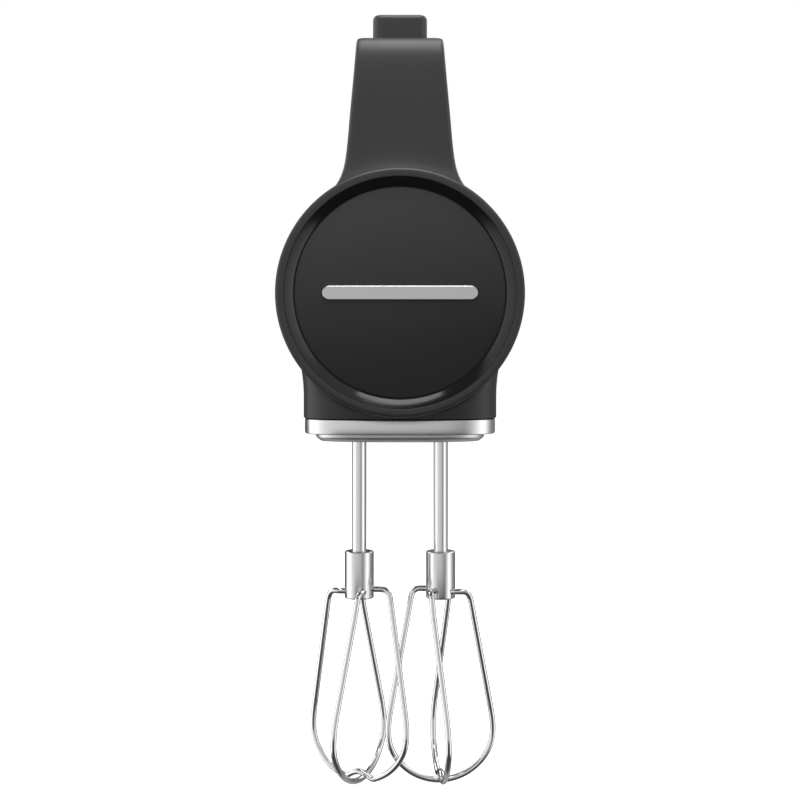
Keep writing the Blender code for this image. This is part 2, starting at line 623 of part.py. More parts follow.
def build_nose():
    """The ring has a glossy cone that steps down to a recessed disc, and a spigot inside the barrel."""
    front, radius = NOSE_FRONT_Y, NOSE_RADIUS
    spigot = BARREL_RADIUS - SHELL_WALL - 1.2 * MM
    seat = front + CONE_DEPTH
    back = BARREL_FRONT_Y - FIT
    ledge = DISC_RADIUS - 3 * MM
    profile = [
        (spigot, back + 6 * MM), (spigot, back), (radius - 1 * MM, back), (radius, back - 1 * MM),
        (radius, front + 2.2 * MM), (radius - 0.7 * MM, front + 0.7 * MM), (radius - NOSE_RIM, front),
        (DISC_RADIUS + DISC_GAP, seat), (DISC_RADIUS + DISC_GAP, seat + DISC_THICKNESS),
        (ledge, seat + DISC_THICKNESS), (ledge, seat + DISC_THICKNESS + 2 * MM),
        (spigot - 2 * MM, seat + DISC_THICKNESS + 4 * MM), (spigot - 2 * MM, back + 6 * MM),
    ]
    centre = (0, 0, BARREL_AXIS_Z)
    turned("nose_ring", profile, "gloss_black", 44, centre, along_y=True)
    disc_front = seat + 0.2 * MM
    disc_back = seat + DISC_THICKNESS - FIT
    turned("nose_disc", [
        (0, disc_back + 3 * MM), (ledge - FIT, disc_back + 3 * MM), (ledge - FIT, disc_back),
        (DISC_RADIUS, disc_back), (DISC_RADIUS, disc_front + 0.5 * MM), (DISC_RADIUS - 0.5 * MM, disc_front),
        (0, disc_front)], "charcoal", 44, centre, along_y=True)
    pill = rounded_rectangle(BADGE_LENGTH / 2, BADGE_HEIGHT / 2, BADGE_HEIGHT / 2 - 0.01 * MM, 5)
    pill = [(x, z + BARREL_AXIS_Z) for x, z in pill]
    badge_back = disc_front - FIT
    lofted("badge_bar", [at_depth(pill, badge_back), at_depth(pill, badge_back - BADGE_THICKNESS)],
           "badge_silver")


def skirt_outline():
    """The skirt's lower edge, as an anticlockwise loop of (x, y) points seen from above."""
    return [(x, y) for x, y, _ in spline_loop(at_height(skirt_plan(), 0))]


def build_base():
    outline = skirt_outline()
    outer = inset(outline, BAND_INSET)
    inner = inset(outline, BAND_INSET + BAND_WALL)
    top = SKIRT_RIM_Z - FIT
    edge = inset(outline, BAND_INSET + 0.5 * MM)
    lofted("trim_band", [
        at_height(inner, BAND_BOTTOM_Z), at_height(edge, BAND_BOTTOM_Z),
        at_height(outer, BAND_BOTTOM_Z + 0.5 * MM), at_height(outer, top - 0.5 * MM),
        at_height(edge, top), at_height(inner, top)], "stainless", hollow=True)
    lip = shrunk(outline, BAND_INSET + LIP_INSET)
    chamfer = shrunk(outline, BAND_INSET + LIP_INSET + LIP_CHAMFER)
    flange = inset(outline, BAND_INSET + BAND_WALL + FIT)
    plate = lofted("base_plate", [
        at_height(chamfer, 0), at_height(lip, 1.8 * MM), at_height(lip, BAND_BOTTOM_Z + FIT),
        at_height(flange, BAND_BOTTOM_Z + FIT), at_height(flange, PLATE_TOP_Z)], "stainless")
    thick = PLATE_TOP_Z
    for side, sign in (("left", -1), ("right", 1)):
        drill(plate, f"{side}_spindle_hole", SPINDLE_RADIUS + 1 * MM,
              (sign * SPINDLE_X, 0, thick / 2), 2 * thick)
    for number, (x, y) in enumerate(SCREW_PLACES, 1):
        place = (x * MM, y * MM)
        drill(plate, f"screw_bore_{number}", 2.3 * MM, (*place, thick / 2), 2 * thick, steps=12)
        drill(plate, f"screw_recess_{number}", 3.6 * MM, (*place, 0), 4 * MM, steps=12)
        head, shank = 3.2 * MM, 1.9 * MM
        turned(f"base_screw_{number}", [
            (0, 8.8 * MM), (shank - 0.6 * MM, 8.8 * MM), (shank, 8 * MM), (shank, 1.7 * MM), (head, 1.7 * MM),
            (head, 0.8 * MM), (head - 0.7 * MM, 0.3 * MM), (0, 0.3 * MM)], "steel", 12, (*place, 0))


# ---- Drive -------------------------------------------------------------------------------------
def gear_outline(phase):
    """Tooth outline round the wheel, with straight flanks. Phase is the first tooth's angle."""
    tip, root = GEAR_PITCH_RADIUS + TOOTH_RISE, GEAR_PITCH_RADIUS - GEAR_TOOTH_DEPTH
    half_tip = TOOTH_WIDTH / 2 - TOOTH_RISE * FLANK_SLOPE
    half_root = TOOTH_WIDTH / 2 + GEAR_TOOTH_DEPTH * FLANK_SLOPE
    points = []
    for tooth in range(GEAR_TEETH):
        centre = phase + math.tau * tooth / GEAR_TEETH
        for radius, offset in ((root, -half_root), (tip, -half_tip), (tip, half_tip), (root, half_root)):
            angle = centre + offset / radius
            points.append((radius * math.cos(angle), radius * math.sin(angle)))
    return points


def build_gear(name, x, phase):
    layers = []
    for step in (-1, 1):
        outline = [(x + px, py) for px, py in gear_outline(phase + GEAR_TWIST / 2 * step)]
        layers.append(at_height(outline, DRIVE_Z + GEAR_FACE / 2 * step))
    gear = lofted(name, layers, "white_acetal", smooth_angle=25)
    drill(gear, f"{name}_bore", SPINDLE_RADIUS + RUN_FIT, (x, 0, DRIVE_Z), 2 * GEAR_FACE)


def build_worm():
    """A single right-hand thread on a sleeve, sampled so that its edges run along the helix."""
    sides = 10
    tip = WORM_PITCH_RADIUS + TOOTH_RISE
    root = WORM_PITCH_RADIUS - WORM_TOOTH_DEPTH
    half_tip = TOOTH_WIDTH / 2 - TOOTH_RISE * FLANK_SLOPE
    half_root = TOOTH_WIDTH / 2 + WORM_TOOTH_DEPTH * FLANK_SLOPE

    def thread(offset):
        """Radius at a distance along the axis from the thread's crest line."""
        away = abs((offset / GEAR_PITCH + 0.5) % 1 - 0.5) * GEAR_PITCH
        t = min(1.0, max(0.0, (away - half_tip) / (half_root - half_tip)))
        return tip + (root - tip) * t

    rows = round(WORM_LENGTH / GEAR_PITCH * sides)
    length = rows * GEAR_PITCH / sides
    bore = MOTOR_SHAFT_RADIUS + RUN_FIT
    start, end = -length / 2, length / 2
    loops = [[(bore, start)] * sides]
    for row in range(rows + 1):
        y = start + row * GEAR_PITCH / sides
        fade = min(1.0, min(row, rows - row) / 2)
        loops.append([(root + (thread(y - GEAR_PITCH * k / sides) - root) * fade, y) for k in range(sides)])
    loops.append([(bore, end)] * sides)
    placed = []
    for loop in loops:
        placed.append([(radius * math.cos(math.tau * k / sides), y, radius * math.sin(math.tau * k / sides))
                       for k, (radius, y) in enumerate(loop)])
    worm = lofted("worm", placed, "steel", hollow=True, smooth_angle=25)
    worm.location.z = DRIVE_Z


def build_spindle(side, x):
    centre = (x, 0, 0)
    collar_top = DRIVE_Z - GEAR_FACE / 2 - FIT
    spindle = turned(f"{side}_spindle", [
        (SPINDLE_RADIUS, SPINDLE_TOP_Z), (SPINDLE_RADIUS, collar_top), (SPINDLE_RADIUS + 2 * MM, collar_top),
        (SPINDLE_RADIUS + 2 * MM, collar_top - 2.5 * MM), (SPINDLE_RADIUS, collar_top - 2.5 * MM),
        (SPINDLE_RADIUS, SPINDLE_BOTTOM_Z), (SPINDLE_BORE, SPINDLE_BOTTOM_Z), (SPINDLE_BORE, SPINDLE_TOP_Z)],
        "steel", 24, centre)
    reach = LUG_REACH + FIT
    half = LUG_THICKNESS / 2 + FIT
    slot = box(f"{side}_lug_slot", (x - reach, -half, SPINDLE_BOTTOM_Z - 2 * MM),
               (x + reach, half, LUG_Z + LUG_HEIGHT + FIT), "steel")
    boolean(spindle, slot)
    bush_outer = SPINDLE_RADIUS + RUN_FIT + BUSH_WALL
    low = FRAME_BOTTOM_Z
    seat = low + FRAME_WALL + FIT
    flange = bush_outer + 1.5 * MM
    turned(f"{side}_spindle_bush", [
        (flange, seat + 2 * MM), (flange, seat), (bush_outer, seat), (bush_outer, low),
        (SPINDLE_RADIUS + RUN_FIT, low), (SPINDLE_RADIUS + RUN_FIT, seat + 2 * MM)],
        "bronze", 24, centre)


def build_gear_frame():
    """A U-shaped bracket that carries the spindles and the worm, and a cap across its walls."""
    half_x, half_y, low, wall = FRAME_HALF_WIDTH, FRAME_HALF_DEPTH, FRAME_BOTTOM_Z, FRAME_WALL
    top = FRAME_CAP_Z - FIT
    section = [(-half_y, low), (half_y, low), (half_y, top), (half_y - wall, top), (half_y - wall, low + wall),
               (wall - half_y, low + wall), (wall - half_y, top), (-half_y, top)]
    frame = lofted("gear_frame", [[(x, y, z) for y, z in section] for x in (-half_x, half_x)],
                   "grey_plastic", smooth_angle=20)
    cap = box("gear_frame_cap", (-half_x, -half_y, FRAME_CAP_Z), (half_x, half_y, FRAME_CAP_Z + wall),
              "grey_plastic")
    bush_hole = SPINDLE_RADIUS + RUN_FIT + BUSH_WALL + RUN_FIT
    for side, sign in (("left", -1), ("right", 1)):
        x = sign * SPINDLE_X
        drill(frame, f"{side}_bush_hole", bush_hole, (x, 0, low + wall / 2), 2 * wall)
        drill(cap, f"{side}_cap_hole", SPINDLE_RADIUS + RUN_FIT, (x, 0, FRAME_CAP_Z + wall / 2), 2 * wall)
    bore = MOTOR_SHAFT_RADIUS + RUN_FIT
    rear_wall, front_wall = (0, half_y - wall / 2, DRIVE_Z), (0, wall / 2 - half_y, DRIVE_Z)
    drill(frame, "motor_boss_hole", MOTOR_BOSS_RADIUS + BOSS_HOLE_MARGIN, rear_wall, 2 * wall, "Y")
    drill(frame, "worm_end_hole", WORM_END_RADIUS + RUN_FIT, front_wall, 2 * wall, "Y")
    turned("worm_end_bush", tube_profile(WORM_END_RADIUS, bore, -half_y, wall - half_y),
           "bronze", 16, (0, 0, DRIVE_Z), along_y=True)


def build_motor():
    centre = (0, 0, DRIVE_Z)
    front, rear = MOTOR_FRONT_Y, MOTOR_FRONT_Y + MOTOR_LENGTH
    inner = MOTOR_RADIUS - MOTOR_WALL
    boss, bore = MOTOR_BOSS_RADIUS, MOTOR_SHAFT_RADIUS + RUN_FIT
    turned("motor_can", [
        (MOTOR_RADIUS, rear), (MOTOR_RADIUS, front + 1 * MM), (MOTOR_RADIUS - 1 * MM, front),
        (boss + RUN_FIT, front), (boss + RUN_FIT, front + MOTOR_WALL), (inner, front + MOTOR_WALL), (inner, rear)],
        "dark_steel", 28, centre, along_y=True)
    turned("motor_front_bush", tube_profile(boss, bore, front - 2 * MM, front + 4 * MM),
           "bronze", 16, centre, along_y=True)
    bell = rear + FIT
    turned("motor_end_bell", [
        (MOTOR_RADIUS, bell + 3 * MM), (MOTOR_RADIUS, bell), (inner - FIT, bell), (inner - FIT, bell - 4 * MM),
        (inner - 2 * MM, bell - 4 * MM), (inner - 2 * MM, bell), (boss + RUN_FIT, bell),
        (boss + RUN_FIT, bell + 3 * MM)], "satin_black", 28, centre, along_y=True)
    turned("motor_rear_bush", tube_profile(boss, bore, bell, bell + 4 * MM),
           "bronze", 16, centre, along_y=True)
    turned("motor_shaft", rod_profile(MOTOR_SHAFT_RADIUS, -FRAME_HALF_DEPTH, bell + 5 * MM, 0.4 * MM),
           "steel", 16, centre, along_y=True)
    turned("commutator", tube_profile(4.6 * MM, bore, rear - 10 * MM, rear - 3 * MM),
           "copper", 20, centre, along_y=True)
    build_magnets(front + 7 * MM, rear - 13 * MM, inner - FIT)
    build_armature(front + 8 * MM, rear - 14 * MM)


def build_magnets(front, rear, outer):
    inner = outer - MAGNET_THICKNESS
    for side, middle in (("left", math.pi), ("right", 0.0)):
        arc = [middle + math.radians(60) * (i / 5 - 1) for i in range(11)]
        section = [(outer * math.cos(a), outer * math.sin(a)) for a in arc]
        section += [(inner * math.cos(a), inner * math.sin(a)) for a in reversed(arc)]
        section = [(x, z + DRIVE_Z) for x, z in section]
        lofted(f"{side}_magnet", [at_depth(section, front), at_depth(section, rear)], "ferrite")


def build_armature(front, rear):
    """Five poles with narrow slots between their shoes."""
    points = []
    pole = math.tau / 5
    for number in range(5):
        start = pole * number
        for i in range(5):
            angle = start + pole * (0.06 + 0.88 * i / 4)
            points.append((ARMATURE_RADIUS, angle))
        slot = (0.8, 0.94), (0.74, 0.84), (0.42, 0.88), (0.42, 1.12), (0.74, 1.16), (0.8, 1.06)
        for depth, angle in slot:
            points.append((ARMATURE_RADIUS * depth, start + pole * angle))
    section = [(radius * math.cos(a), radius * math.sin(a)) for radius, a in points]
    core = lofted("armature", [at_depth(section, front), at_depth(section, rear)], "dark_steel")
    core.location.z = DRIVE_Z
    drill(core, "armature_bore", MOTOR_SHAFT_RADIUS + RUN_FIT, (0, (front + rear) / 2, DRIVE_Z),
          2 * (rear - front), "Y")


# ---- Ejector -----------------------------------------------------------------------------------
def build_ejector():
    fork_top = FORK_Z + FORK_THICKNESS
    button_bottom = HANDLE_TOP_Z - 12 * MM
    rod_y = BUTTON_Y - 5 * MM
    arm_x, arm_y, neck_x = SPINDLE_X + 4.5 * MM, 6.5 * MM, 5 * MM
    neck_y = rod_y - 2.4 * MM
    plan = [(-neck_x, neck_y), (neck_x, neck_y), (neck_x, -arm_y), (arm_x, -arm_y), (arm_x, arm_y),
            (-arm_x, arm_y), (-arm_x, -arm_y), (-neck_x, -arm_y)]
    bevelled(lofted("eject_fork", [at_height(plan, FORK_Z), at_height(plan, fork_top)], "white_acetal"), 0.6 * MM)
    bevelled(box("eject_rod", (-3.5 * MM, rod_y - 2 * MM, fork_top + FIT),
                 (3.5 * MM, rod_y + 2 * MM, button_bottom - FIT), "white_acetal"), 0.5 * MM)

    top = HANDLE_TOP_Z + BUTTON_PROUD
    half_x, half_y = BUTTON_WIDTH / 2, BUTTON_DEPTH / 2

    def outline(grow, z):
        loop = rounded_rectangle(half_x + grow, half_y + grow, 3.7 * MM + grow)
        return at_height([(x, y + BUTTON_Y) for x, y in loop], z)

    flange_top = HANDLE_TOP_Z - SHELL_WALL - 1.6 * MM
    lofted("eject_button", [
        outline(1.4 * MM, button_bottom), outline(1.4 * MM, flange_top), outline(0, flange_top),
        outline(0, top - 2 * MM), outline(-0.6 * MM, top - 0.6 * MM), outline(-2 * MM, top)], "charcoal")

    bottom = FRAME_CAP_Z + FRAME_WALL + FIT + EJECT_SPRING_WIRE
    height = FORK_Z - FIT - EJECT_SPRING_WIRE - bottom
    steps = 8 * EJECT_SPRING_TURNS
    coil = []
    for i in range(steps + 1):
        turn = math.tau * i / 8
        coil.append((EJECT_SPRING_RADIUS * math.cos(turn), EJECT_SPRING_Y + EJECT_SPRING_RADIUS * math.sin(turn),
                     bottom + height * i / steps))
    wire("eject_spring", coil, EJECT_SPRING_WIRE, "steel", 0)

    for side, sign in (("left", -1), ("right", 1)):
        turned(f"{side}_push_pin", [
            (0, PIN_HEAD_Z + PIN_HEAD_HEIGHT), (PIN_HEAD_RADIUS, PIN_HEAD_Z + PIN_HEAD_HEIGHT),
            (PIN_HEAD_RADIUS, PIN_HEAD_Z), (SHAFT_RADIUS, PIN_HEAD_Z), (SHAFT_RADIUS, SHAFT_TOP_Z + FIT),
            (0, SHAFT_TOP_Z + FIT)], "white_acetal", 20, (sign * SPINDLE_X, 0, 0))


# ---- Controls ----------------------------------------------------------------------------------
def build_controls():
    """The slider's cap rides over the panel, its stem passes the slot and its foot holds it from below."""
    y = SLIDER_REST_Y
    cap_low = HANDLE_TOP_Z + FIT
    foot_top = HANDLE_TOP_Z - SHELL_WALL - FIT
    foot_low = foot_top - 2 * MM
    top = HANDLE_TOP_Z + SLIDER_PROUD

    def outline(width, length, corner, z):
        return at_height([(px, py + y) for px, py in rounded_rectangle(width / 2, length / 2, corner, 3)], z)

    stem = (SLIDER_STEM_WIDTH, SLIDER_STEM_LENGTH, 1 * MM)
    foot = (SLIDER_STEM_WIDTH + 8 * MM, SLIDER_STEM_LENGTH + 5 * MM, 1.5 * MM)
    lofted("speed_slider", [
        outline(*foot, foot_low), outline(*foot, foot_top), outline(*stem, foot_top), outline(*stem, cap_low),
        outline(SLIDER_WIDTH, SLIDER_LENGTH, 3 * MM, cap_low),
        outline(SLIDER_WIDTH, SLIDER_LENGTH, 3 * MM, top - 1.2 * MM),
        outline(SLIDER_WIDTH - 2 * MM, SLIDER_LENGTH - 2 * MM, 2.4 * MM, top)], "grey_plastic")
    board_z = foot_low - 3 * MM
    box("switch_board", (-9 * MM, PANEL_FRONT_Y + 3 * MM, board_z - BOARD_THICKNESS),
        (9 * MM, PANEL_REAR_Y - 3 * MM, board_z), "board_green")
    board_y = MOTOR_FRONT_Y + 2 * MM
    board_low = DRIVE_Z + MOTOR_RADIUS + BOARD_ABOVE_MOTOR
    board_high = board_low + BOARD_THICKNESS
    box("control_board", (-19 * MM, board_y, board_low), (19 * MM, board_y + 38 * MM, board_high), "board_green")
    sink_low = board_high + FIT
    fins = [(-12, 0), (12, 0), (12, 7), (10, 7), (10, 2), (5, 2), (5, 7), (3, 7), (3, 2), (-3, 2), (-3, 7), (-5, 7),
            (-5, 2), (-10, 2), (-10, 7), (-12, 7)]
    section = [(x * MM, sink_low + z * MM) for x, z in fins]
    lofted("heat_sink", [at_depth(section, board_y + 4 * MM), at_depth(section, board_y + 22 * MM)], "steel",
           smooth_angle=20)


# ---- Battery -----------------------------------------------------------------------------------
def battery_outline(grow=0.0):
    loop = rounded_rectangle(BATTERY_HALF_WIDTH + grow, BATTERY_HALF_HEIGHT + grow, BATTERY_CORNER + grow)
    return [(x, z + REAR_AXIS_Z) for x, z in loop]


def build_battery():
    front, rear = BATTERY_FRONT_Y, BATTERY_REAR_Y
    lid_back = front + BATTERY_WALL
    case_front = lid_back + FIT
    floor = rear - BATTERY_WALL
    case = lofted("battery_case", [
        at_depth(battery_outline(-BATTERY_WALL), floor), at_depth(battery_outline(-BATTERY_WALL), case_front),
        at_depth(battery_outline(), case_front), at_depth(battery_outline(), rear - 3 * MM),
        at_depth(battery_outline(-0.9 * MM), rear - 0.9 * MM), at_depth(battery_outline(-3 * MM), rear)],
        "satin_black")
    lid = lofted("battery_lid", [at_depth(battery_outline(), front), at_depth(battery_outline(), lid_back)],
                 "grey_plastic")
    block_low = (-TERMINAL_HALF_WIDTH, front - TERMINAL_REACH, REAR_AXIS_Z - TERMINAL_HALF_HEIGHT)
    block_high = (TERMINAL_HALF_WIDTH, lid_back, REAR_AXIS_Z + TERMINAL_HALF_HEIGHT)
    box("terminal_block", block_low, block_high, "copper")
    grown_low = [value - FIT for value in block_low]
    grown_high = [value + FIT for value in block_high]
    boolean(lid, box("terminal_opening", grown_low, grown_high, "grey_plastic"))

    back_row = floor - FIT - CELL_RADIUS
    front_row = back_row - CELL_PITCH * math.sqrt(3) / 2
    low = REAR_AXIS_Z - CELL_LENGTH / 2
    for number, (x, y) in enumerate(((-CELL_PITCH / 2, back_row), (CELL_PITCH / 2, back_row), (0, front_row)), 1):
        turned(f"cell_{number}", rod_profile(CELL_RADIUS, low, low + CELL_LENGTH, 0.6 * MM), "cell_wrap", 20,
               (x, y, 0))
    for side, sign in (("left", -1), ("right", 1)):
        build_latch(case, side, sign)

    dock_front, dock_back = BARREL_REAR_Y - 3.5 * MM, BARREL_REAR_Y
    rim = [(x, z) for x, _, z in spline_loop(barrel_ring(BARREL_REAR_Y))][::-1]
    rim = inset(rim, SHELL_WALL + 2 * FIT)
    dock = lofted("battery_dock", [at_depth(rim, dock_front), at_depth(rim, dock_back)], "satin_black")
    boolean(dock, box("dock_opening", grown_low, grown_high, "satin_black"))


def build_latch(case, side, sign):
    """A button in the battery's side wall, with a flange inside and a spring behind it."""
    face = BATTERY_HALF_WIDTH
    wall_in = face - BATTERY_WALL

    def outline(grow, x):
        loop = rounded_rectangle(LATCH_DEPTH / 2 + grow, LATCH_HEIGHT / 2 + grow, 1.5 * MM + grow, 2)
        return [(sign * x, LATCH_Y + y, REAR_AXIS_Z + z) for y, z in loop]

    boolean(case, lofted(f"{side}_latch_opening", [
        outline(FIT, wall_in - 1 * MM), outline(FIT, face + 1 * MM)], "satin_black"))
    lofted(f"{side}_latch_button", [
        outline(0.7 * MM, wall_in - FIT - 1.2 * MM), outline(0.7 * MM, wall_in - FIT), outline(0, wall_in - FIT),
        outline(0, face + LATCH_PROUD - 0.5 * MM), outline(-0.5 * MM, face + LATCH_PROUD)], "grey_plastic")


# ---- Beaters -----------------------------------------------------------------------------------
def polar(radius, angle, z):
    return Vector((radius * math.cos(angle), radius * math.sin(angle), z))


def rounded_path(corners, radius, steps=4):
    """Straight runs between corners, with each inner corner turned on a quadratic curve."""
    path = [corners[0]]
    for before, corner, after in zip(corners, corners[1:], corners[2:]):
        reach_in = min(radius, (corner - before).length * 0.48)
        reach_out = min(radius, (after - corner).length * 0.48)
        start = corner + (before - corner).normalized() * reach_in
        end = corner + (after - corner).normalized() * reach_out
        for i in range(steps + 1):
            t = i / steps
            path.append(start * (1 - t) ** 2 + corner * 2 * t * (1 - t) + end * t ** 2)
    return path + [corners[-1]]


def flowing(start, out, end, into, steps=4):
    """Points from a start that is left along one direction to just before an end that is met along another."""
    span = (end - start).length
    made = []
    for i in range(steps):
        t = i / steps
        made.append(start * (2 * t ** 3 - 3 * t ** 2 + 1) + out * span * (t ** 3 - 2 * t ** 2 + t)
                    + end * (3 * t ** 2 - 2 * t ** 3) + into * span * (t ** 3 - t ** 2))
    return made


def wire_half(hole_angle, turn, lift):
    """One wire from its hole in the hub to the crossing at the bottom.

    It leaves the hub level, bends down, runs straight while it swings round the axis, and closes on a
    quarter oval. Lift raises the crossing, for the loop that passes over the other.
    """
    bend_angle = hole_angle + turn * TWIST_TO_BEND
    widest_angle = hole_angle + turn * TWIST_TO_WIDEST
    seat = HUB_RADIUS - 3 * MM
    widest = polar(BEATER_RADIUS, widest_angle, BEATER_WIDEST_Z)
    bend = polar(WIRE_BEND_RADIUS, bend_angle, WIRE_BEND_Z)
    swerve = polar(WIRE_BEND_RADIUS * 0.93, bend_angle - turn * math.radians(3), WIRE_HOLE_Z)
    drop = BEATER_BOTTOM_Z - BEATER_WIDEST_Z

    def oval(angle):
        return polar(BEATER_RADIUS * math.cos(angle), widest_angle, BEATER_WIDEST_Z + drop * math.sin(angle))

    straight = (widest - bend).normalized()
    leave = widest - straight * OVAL_LEAD_IN
    join = oval(OVAL_START)
    falling = (oval(OVAL_START + 0.01) - join).normalized()
    path = rounded_path([
        polar(seat, hole_angle, WIRE_HOLE_Z), polar(HUB_RADIUS + 1.6 * MM, hole_angle, WIRE_HOLE_Z), swerve,
        bend + (widest - bend) * 0.04, leave], WIRE_BEND)[:-1]
    path += flowing(leave, straight, join, falling)
    steps = 7
    for i in range(steps):
        place = oval(OVAL_START + (math.pi / 2 - OVAL_START) * i / steps)
        place.z += max(0.0, 1 - place.xy.length_squared / CROSSING_REACH ** 2) * lift
        path.append(place)
    return path


def wire_loop(hole_angle, turn, lift):
    first = wire_half(hole_angle, turn, lift)
    second = wire_half(hole_angle + math.pi, turn, lift)
    return first + [Vector((0, 0, BEATER_BOTTOM_Z + lift))] + second[::-1]


def build_beater(side, x, hole_angle, turn):
    """Turn is the way the wires swing round the axis on their way down."""
    centre = (x, 0, 0)
    hub_low = HUB_TOP_Z - HUB_HEIGHT
    socket = SHAFT_RADIUS + RUN_FIT
    socket_low = HUB_TOP_Z - 13 * MM
    shaft = turned(f"{side}_beater_shaft", rod_profile(SHAFT_RADIUS, socket_low + FIT, SHAFT_TOP_Z, 0.8 * MM),
                   "stainless", 20, centre)
    half = LUG_THICKNESS / 2
    lugs = box(f"{side}_lugs", (x - LUG_REACH, -half, LUG_Z), (x + LUG_REACH, half, LUG_Z + LUG_HEIGHT), "stainless")
    boolean(shaft, lugs, "UNION")
    hub = turned(f"{side}_beater_hub", [
        (0, socket_low), (socket, socket_low), (socket, HUB_TOP_Z), (HUB_RADIUS - 0.7 * MM, HUB_TOP_Z),
        (HUB_RADIUS, HUB_TOP_Z - 0.7 * MM), (HUB_RADIUS, hub_low + 0.7 * MM), (HUB_RADIUS - 0.7 * MM, hub_low),
        (0, hub_low)], "stainless", 28, centre)
    for number, angle in enumerate((hole_angle, hole_angle + math.pi / 2), 1):
        guide = wire(f"{side}_hub_guide_{number}", [
            polar(-2 * HUB_RADIUS, angle, WIRE_HOLE_Z), polar(2 * HUB_RADIUS, angle, WIRE_HOLE_Z)],
            WIRE_RADIUS + FIT, "stainless")
        cutter = add_object(f"{side}_hub_bore_{number}", bpy.data.meshes.new_from_object(guide), "stainless")
        cutter.location = centre
        bpy.data.objects.remove(guide)
        boolean(hub, cutter)
    for name, angle, lift in (("upper", hole_angle, CROSSING_LIFT), ("lower", hole_angle + math.pi / 2, 0.0)):
        loop = wire(f"{side}_{name}_wire", wire_loop(angle, turn, lift), WIRE_RADIUS, "stainless", 1)
        loop.location = centre


def build_drive():
    tooth = math.tau / GEAR_TEETH
    build_gear_frame()
    build_worm()
    for side, sign, phase in (("left", -1, 0.0), ("right", 1, tooth / 2)):
        build_spindle(side, sign * SPINDLE_X)
        build_gear(f"{side}_gear", sign * SPINDLE_X, phase)


def main():
    for old in list(bpy.data.objects):
        bpy.data.objects.remove(old, do_unlink=True)
    build_housing()
    build_nose()
    build_base()
    build_drive()
    build_motor()
    build_ejector()
    build_controls()
    build_battery()
    build_beater("left", -SPINDLE_X, LEFT_HOLE_ANGLE, -1)
    build_beater("right", SPINDLE_X, RIGHT_HOLE_ANGLE, 1)


main()
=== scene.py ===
"""Cordless hand mixer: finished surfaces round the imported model, on a pale floor in soft studio light."""

import math

import bmesh
import bpy
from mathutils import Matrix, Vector


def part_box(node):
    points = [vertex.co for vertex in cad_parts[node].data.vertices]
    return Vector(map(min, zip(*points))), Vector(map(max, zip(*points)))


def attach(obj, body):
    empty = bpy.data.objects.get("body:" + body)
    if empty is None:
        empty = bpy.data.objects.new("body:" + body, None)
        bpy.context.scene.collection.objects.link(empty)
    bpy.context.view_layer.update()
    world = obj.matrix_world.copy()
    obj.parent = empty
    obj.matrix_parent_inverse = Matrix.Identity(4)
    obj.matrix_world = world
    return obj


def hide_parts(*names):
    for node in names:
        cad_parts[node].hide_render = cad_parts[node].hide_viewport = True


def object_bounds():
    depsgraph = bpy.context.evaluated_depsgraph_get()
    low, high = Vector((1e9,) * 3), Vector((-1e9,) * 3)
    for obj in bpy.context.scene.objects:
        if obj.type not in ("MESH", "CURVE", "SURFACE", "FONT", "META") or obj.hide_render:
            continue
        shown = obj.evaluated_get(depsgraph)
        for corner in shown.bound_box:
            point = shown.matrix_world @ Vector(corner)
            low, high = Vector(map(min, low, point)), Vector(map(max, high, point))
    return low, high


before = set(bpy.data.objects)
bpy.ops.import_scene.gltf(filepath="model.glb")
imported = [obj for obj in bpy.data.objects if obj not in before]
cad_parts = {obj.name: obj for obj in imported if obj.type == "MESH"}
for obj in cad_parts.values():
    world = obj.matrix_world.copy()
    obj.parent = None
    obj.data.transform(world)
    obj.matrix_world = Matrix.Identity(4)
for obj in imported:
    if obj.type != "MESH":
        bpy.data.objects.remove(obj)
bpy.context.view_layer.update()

MM = 0.001
BARREL_AXIS = Vector((0, 0, 59.7 * MM))
SPINDLE_X = 17.1 * MM


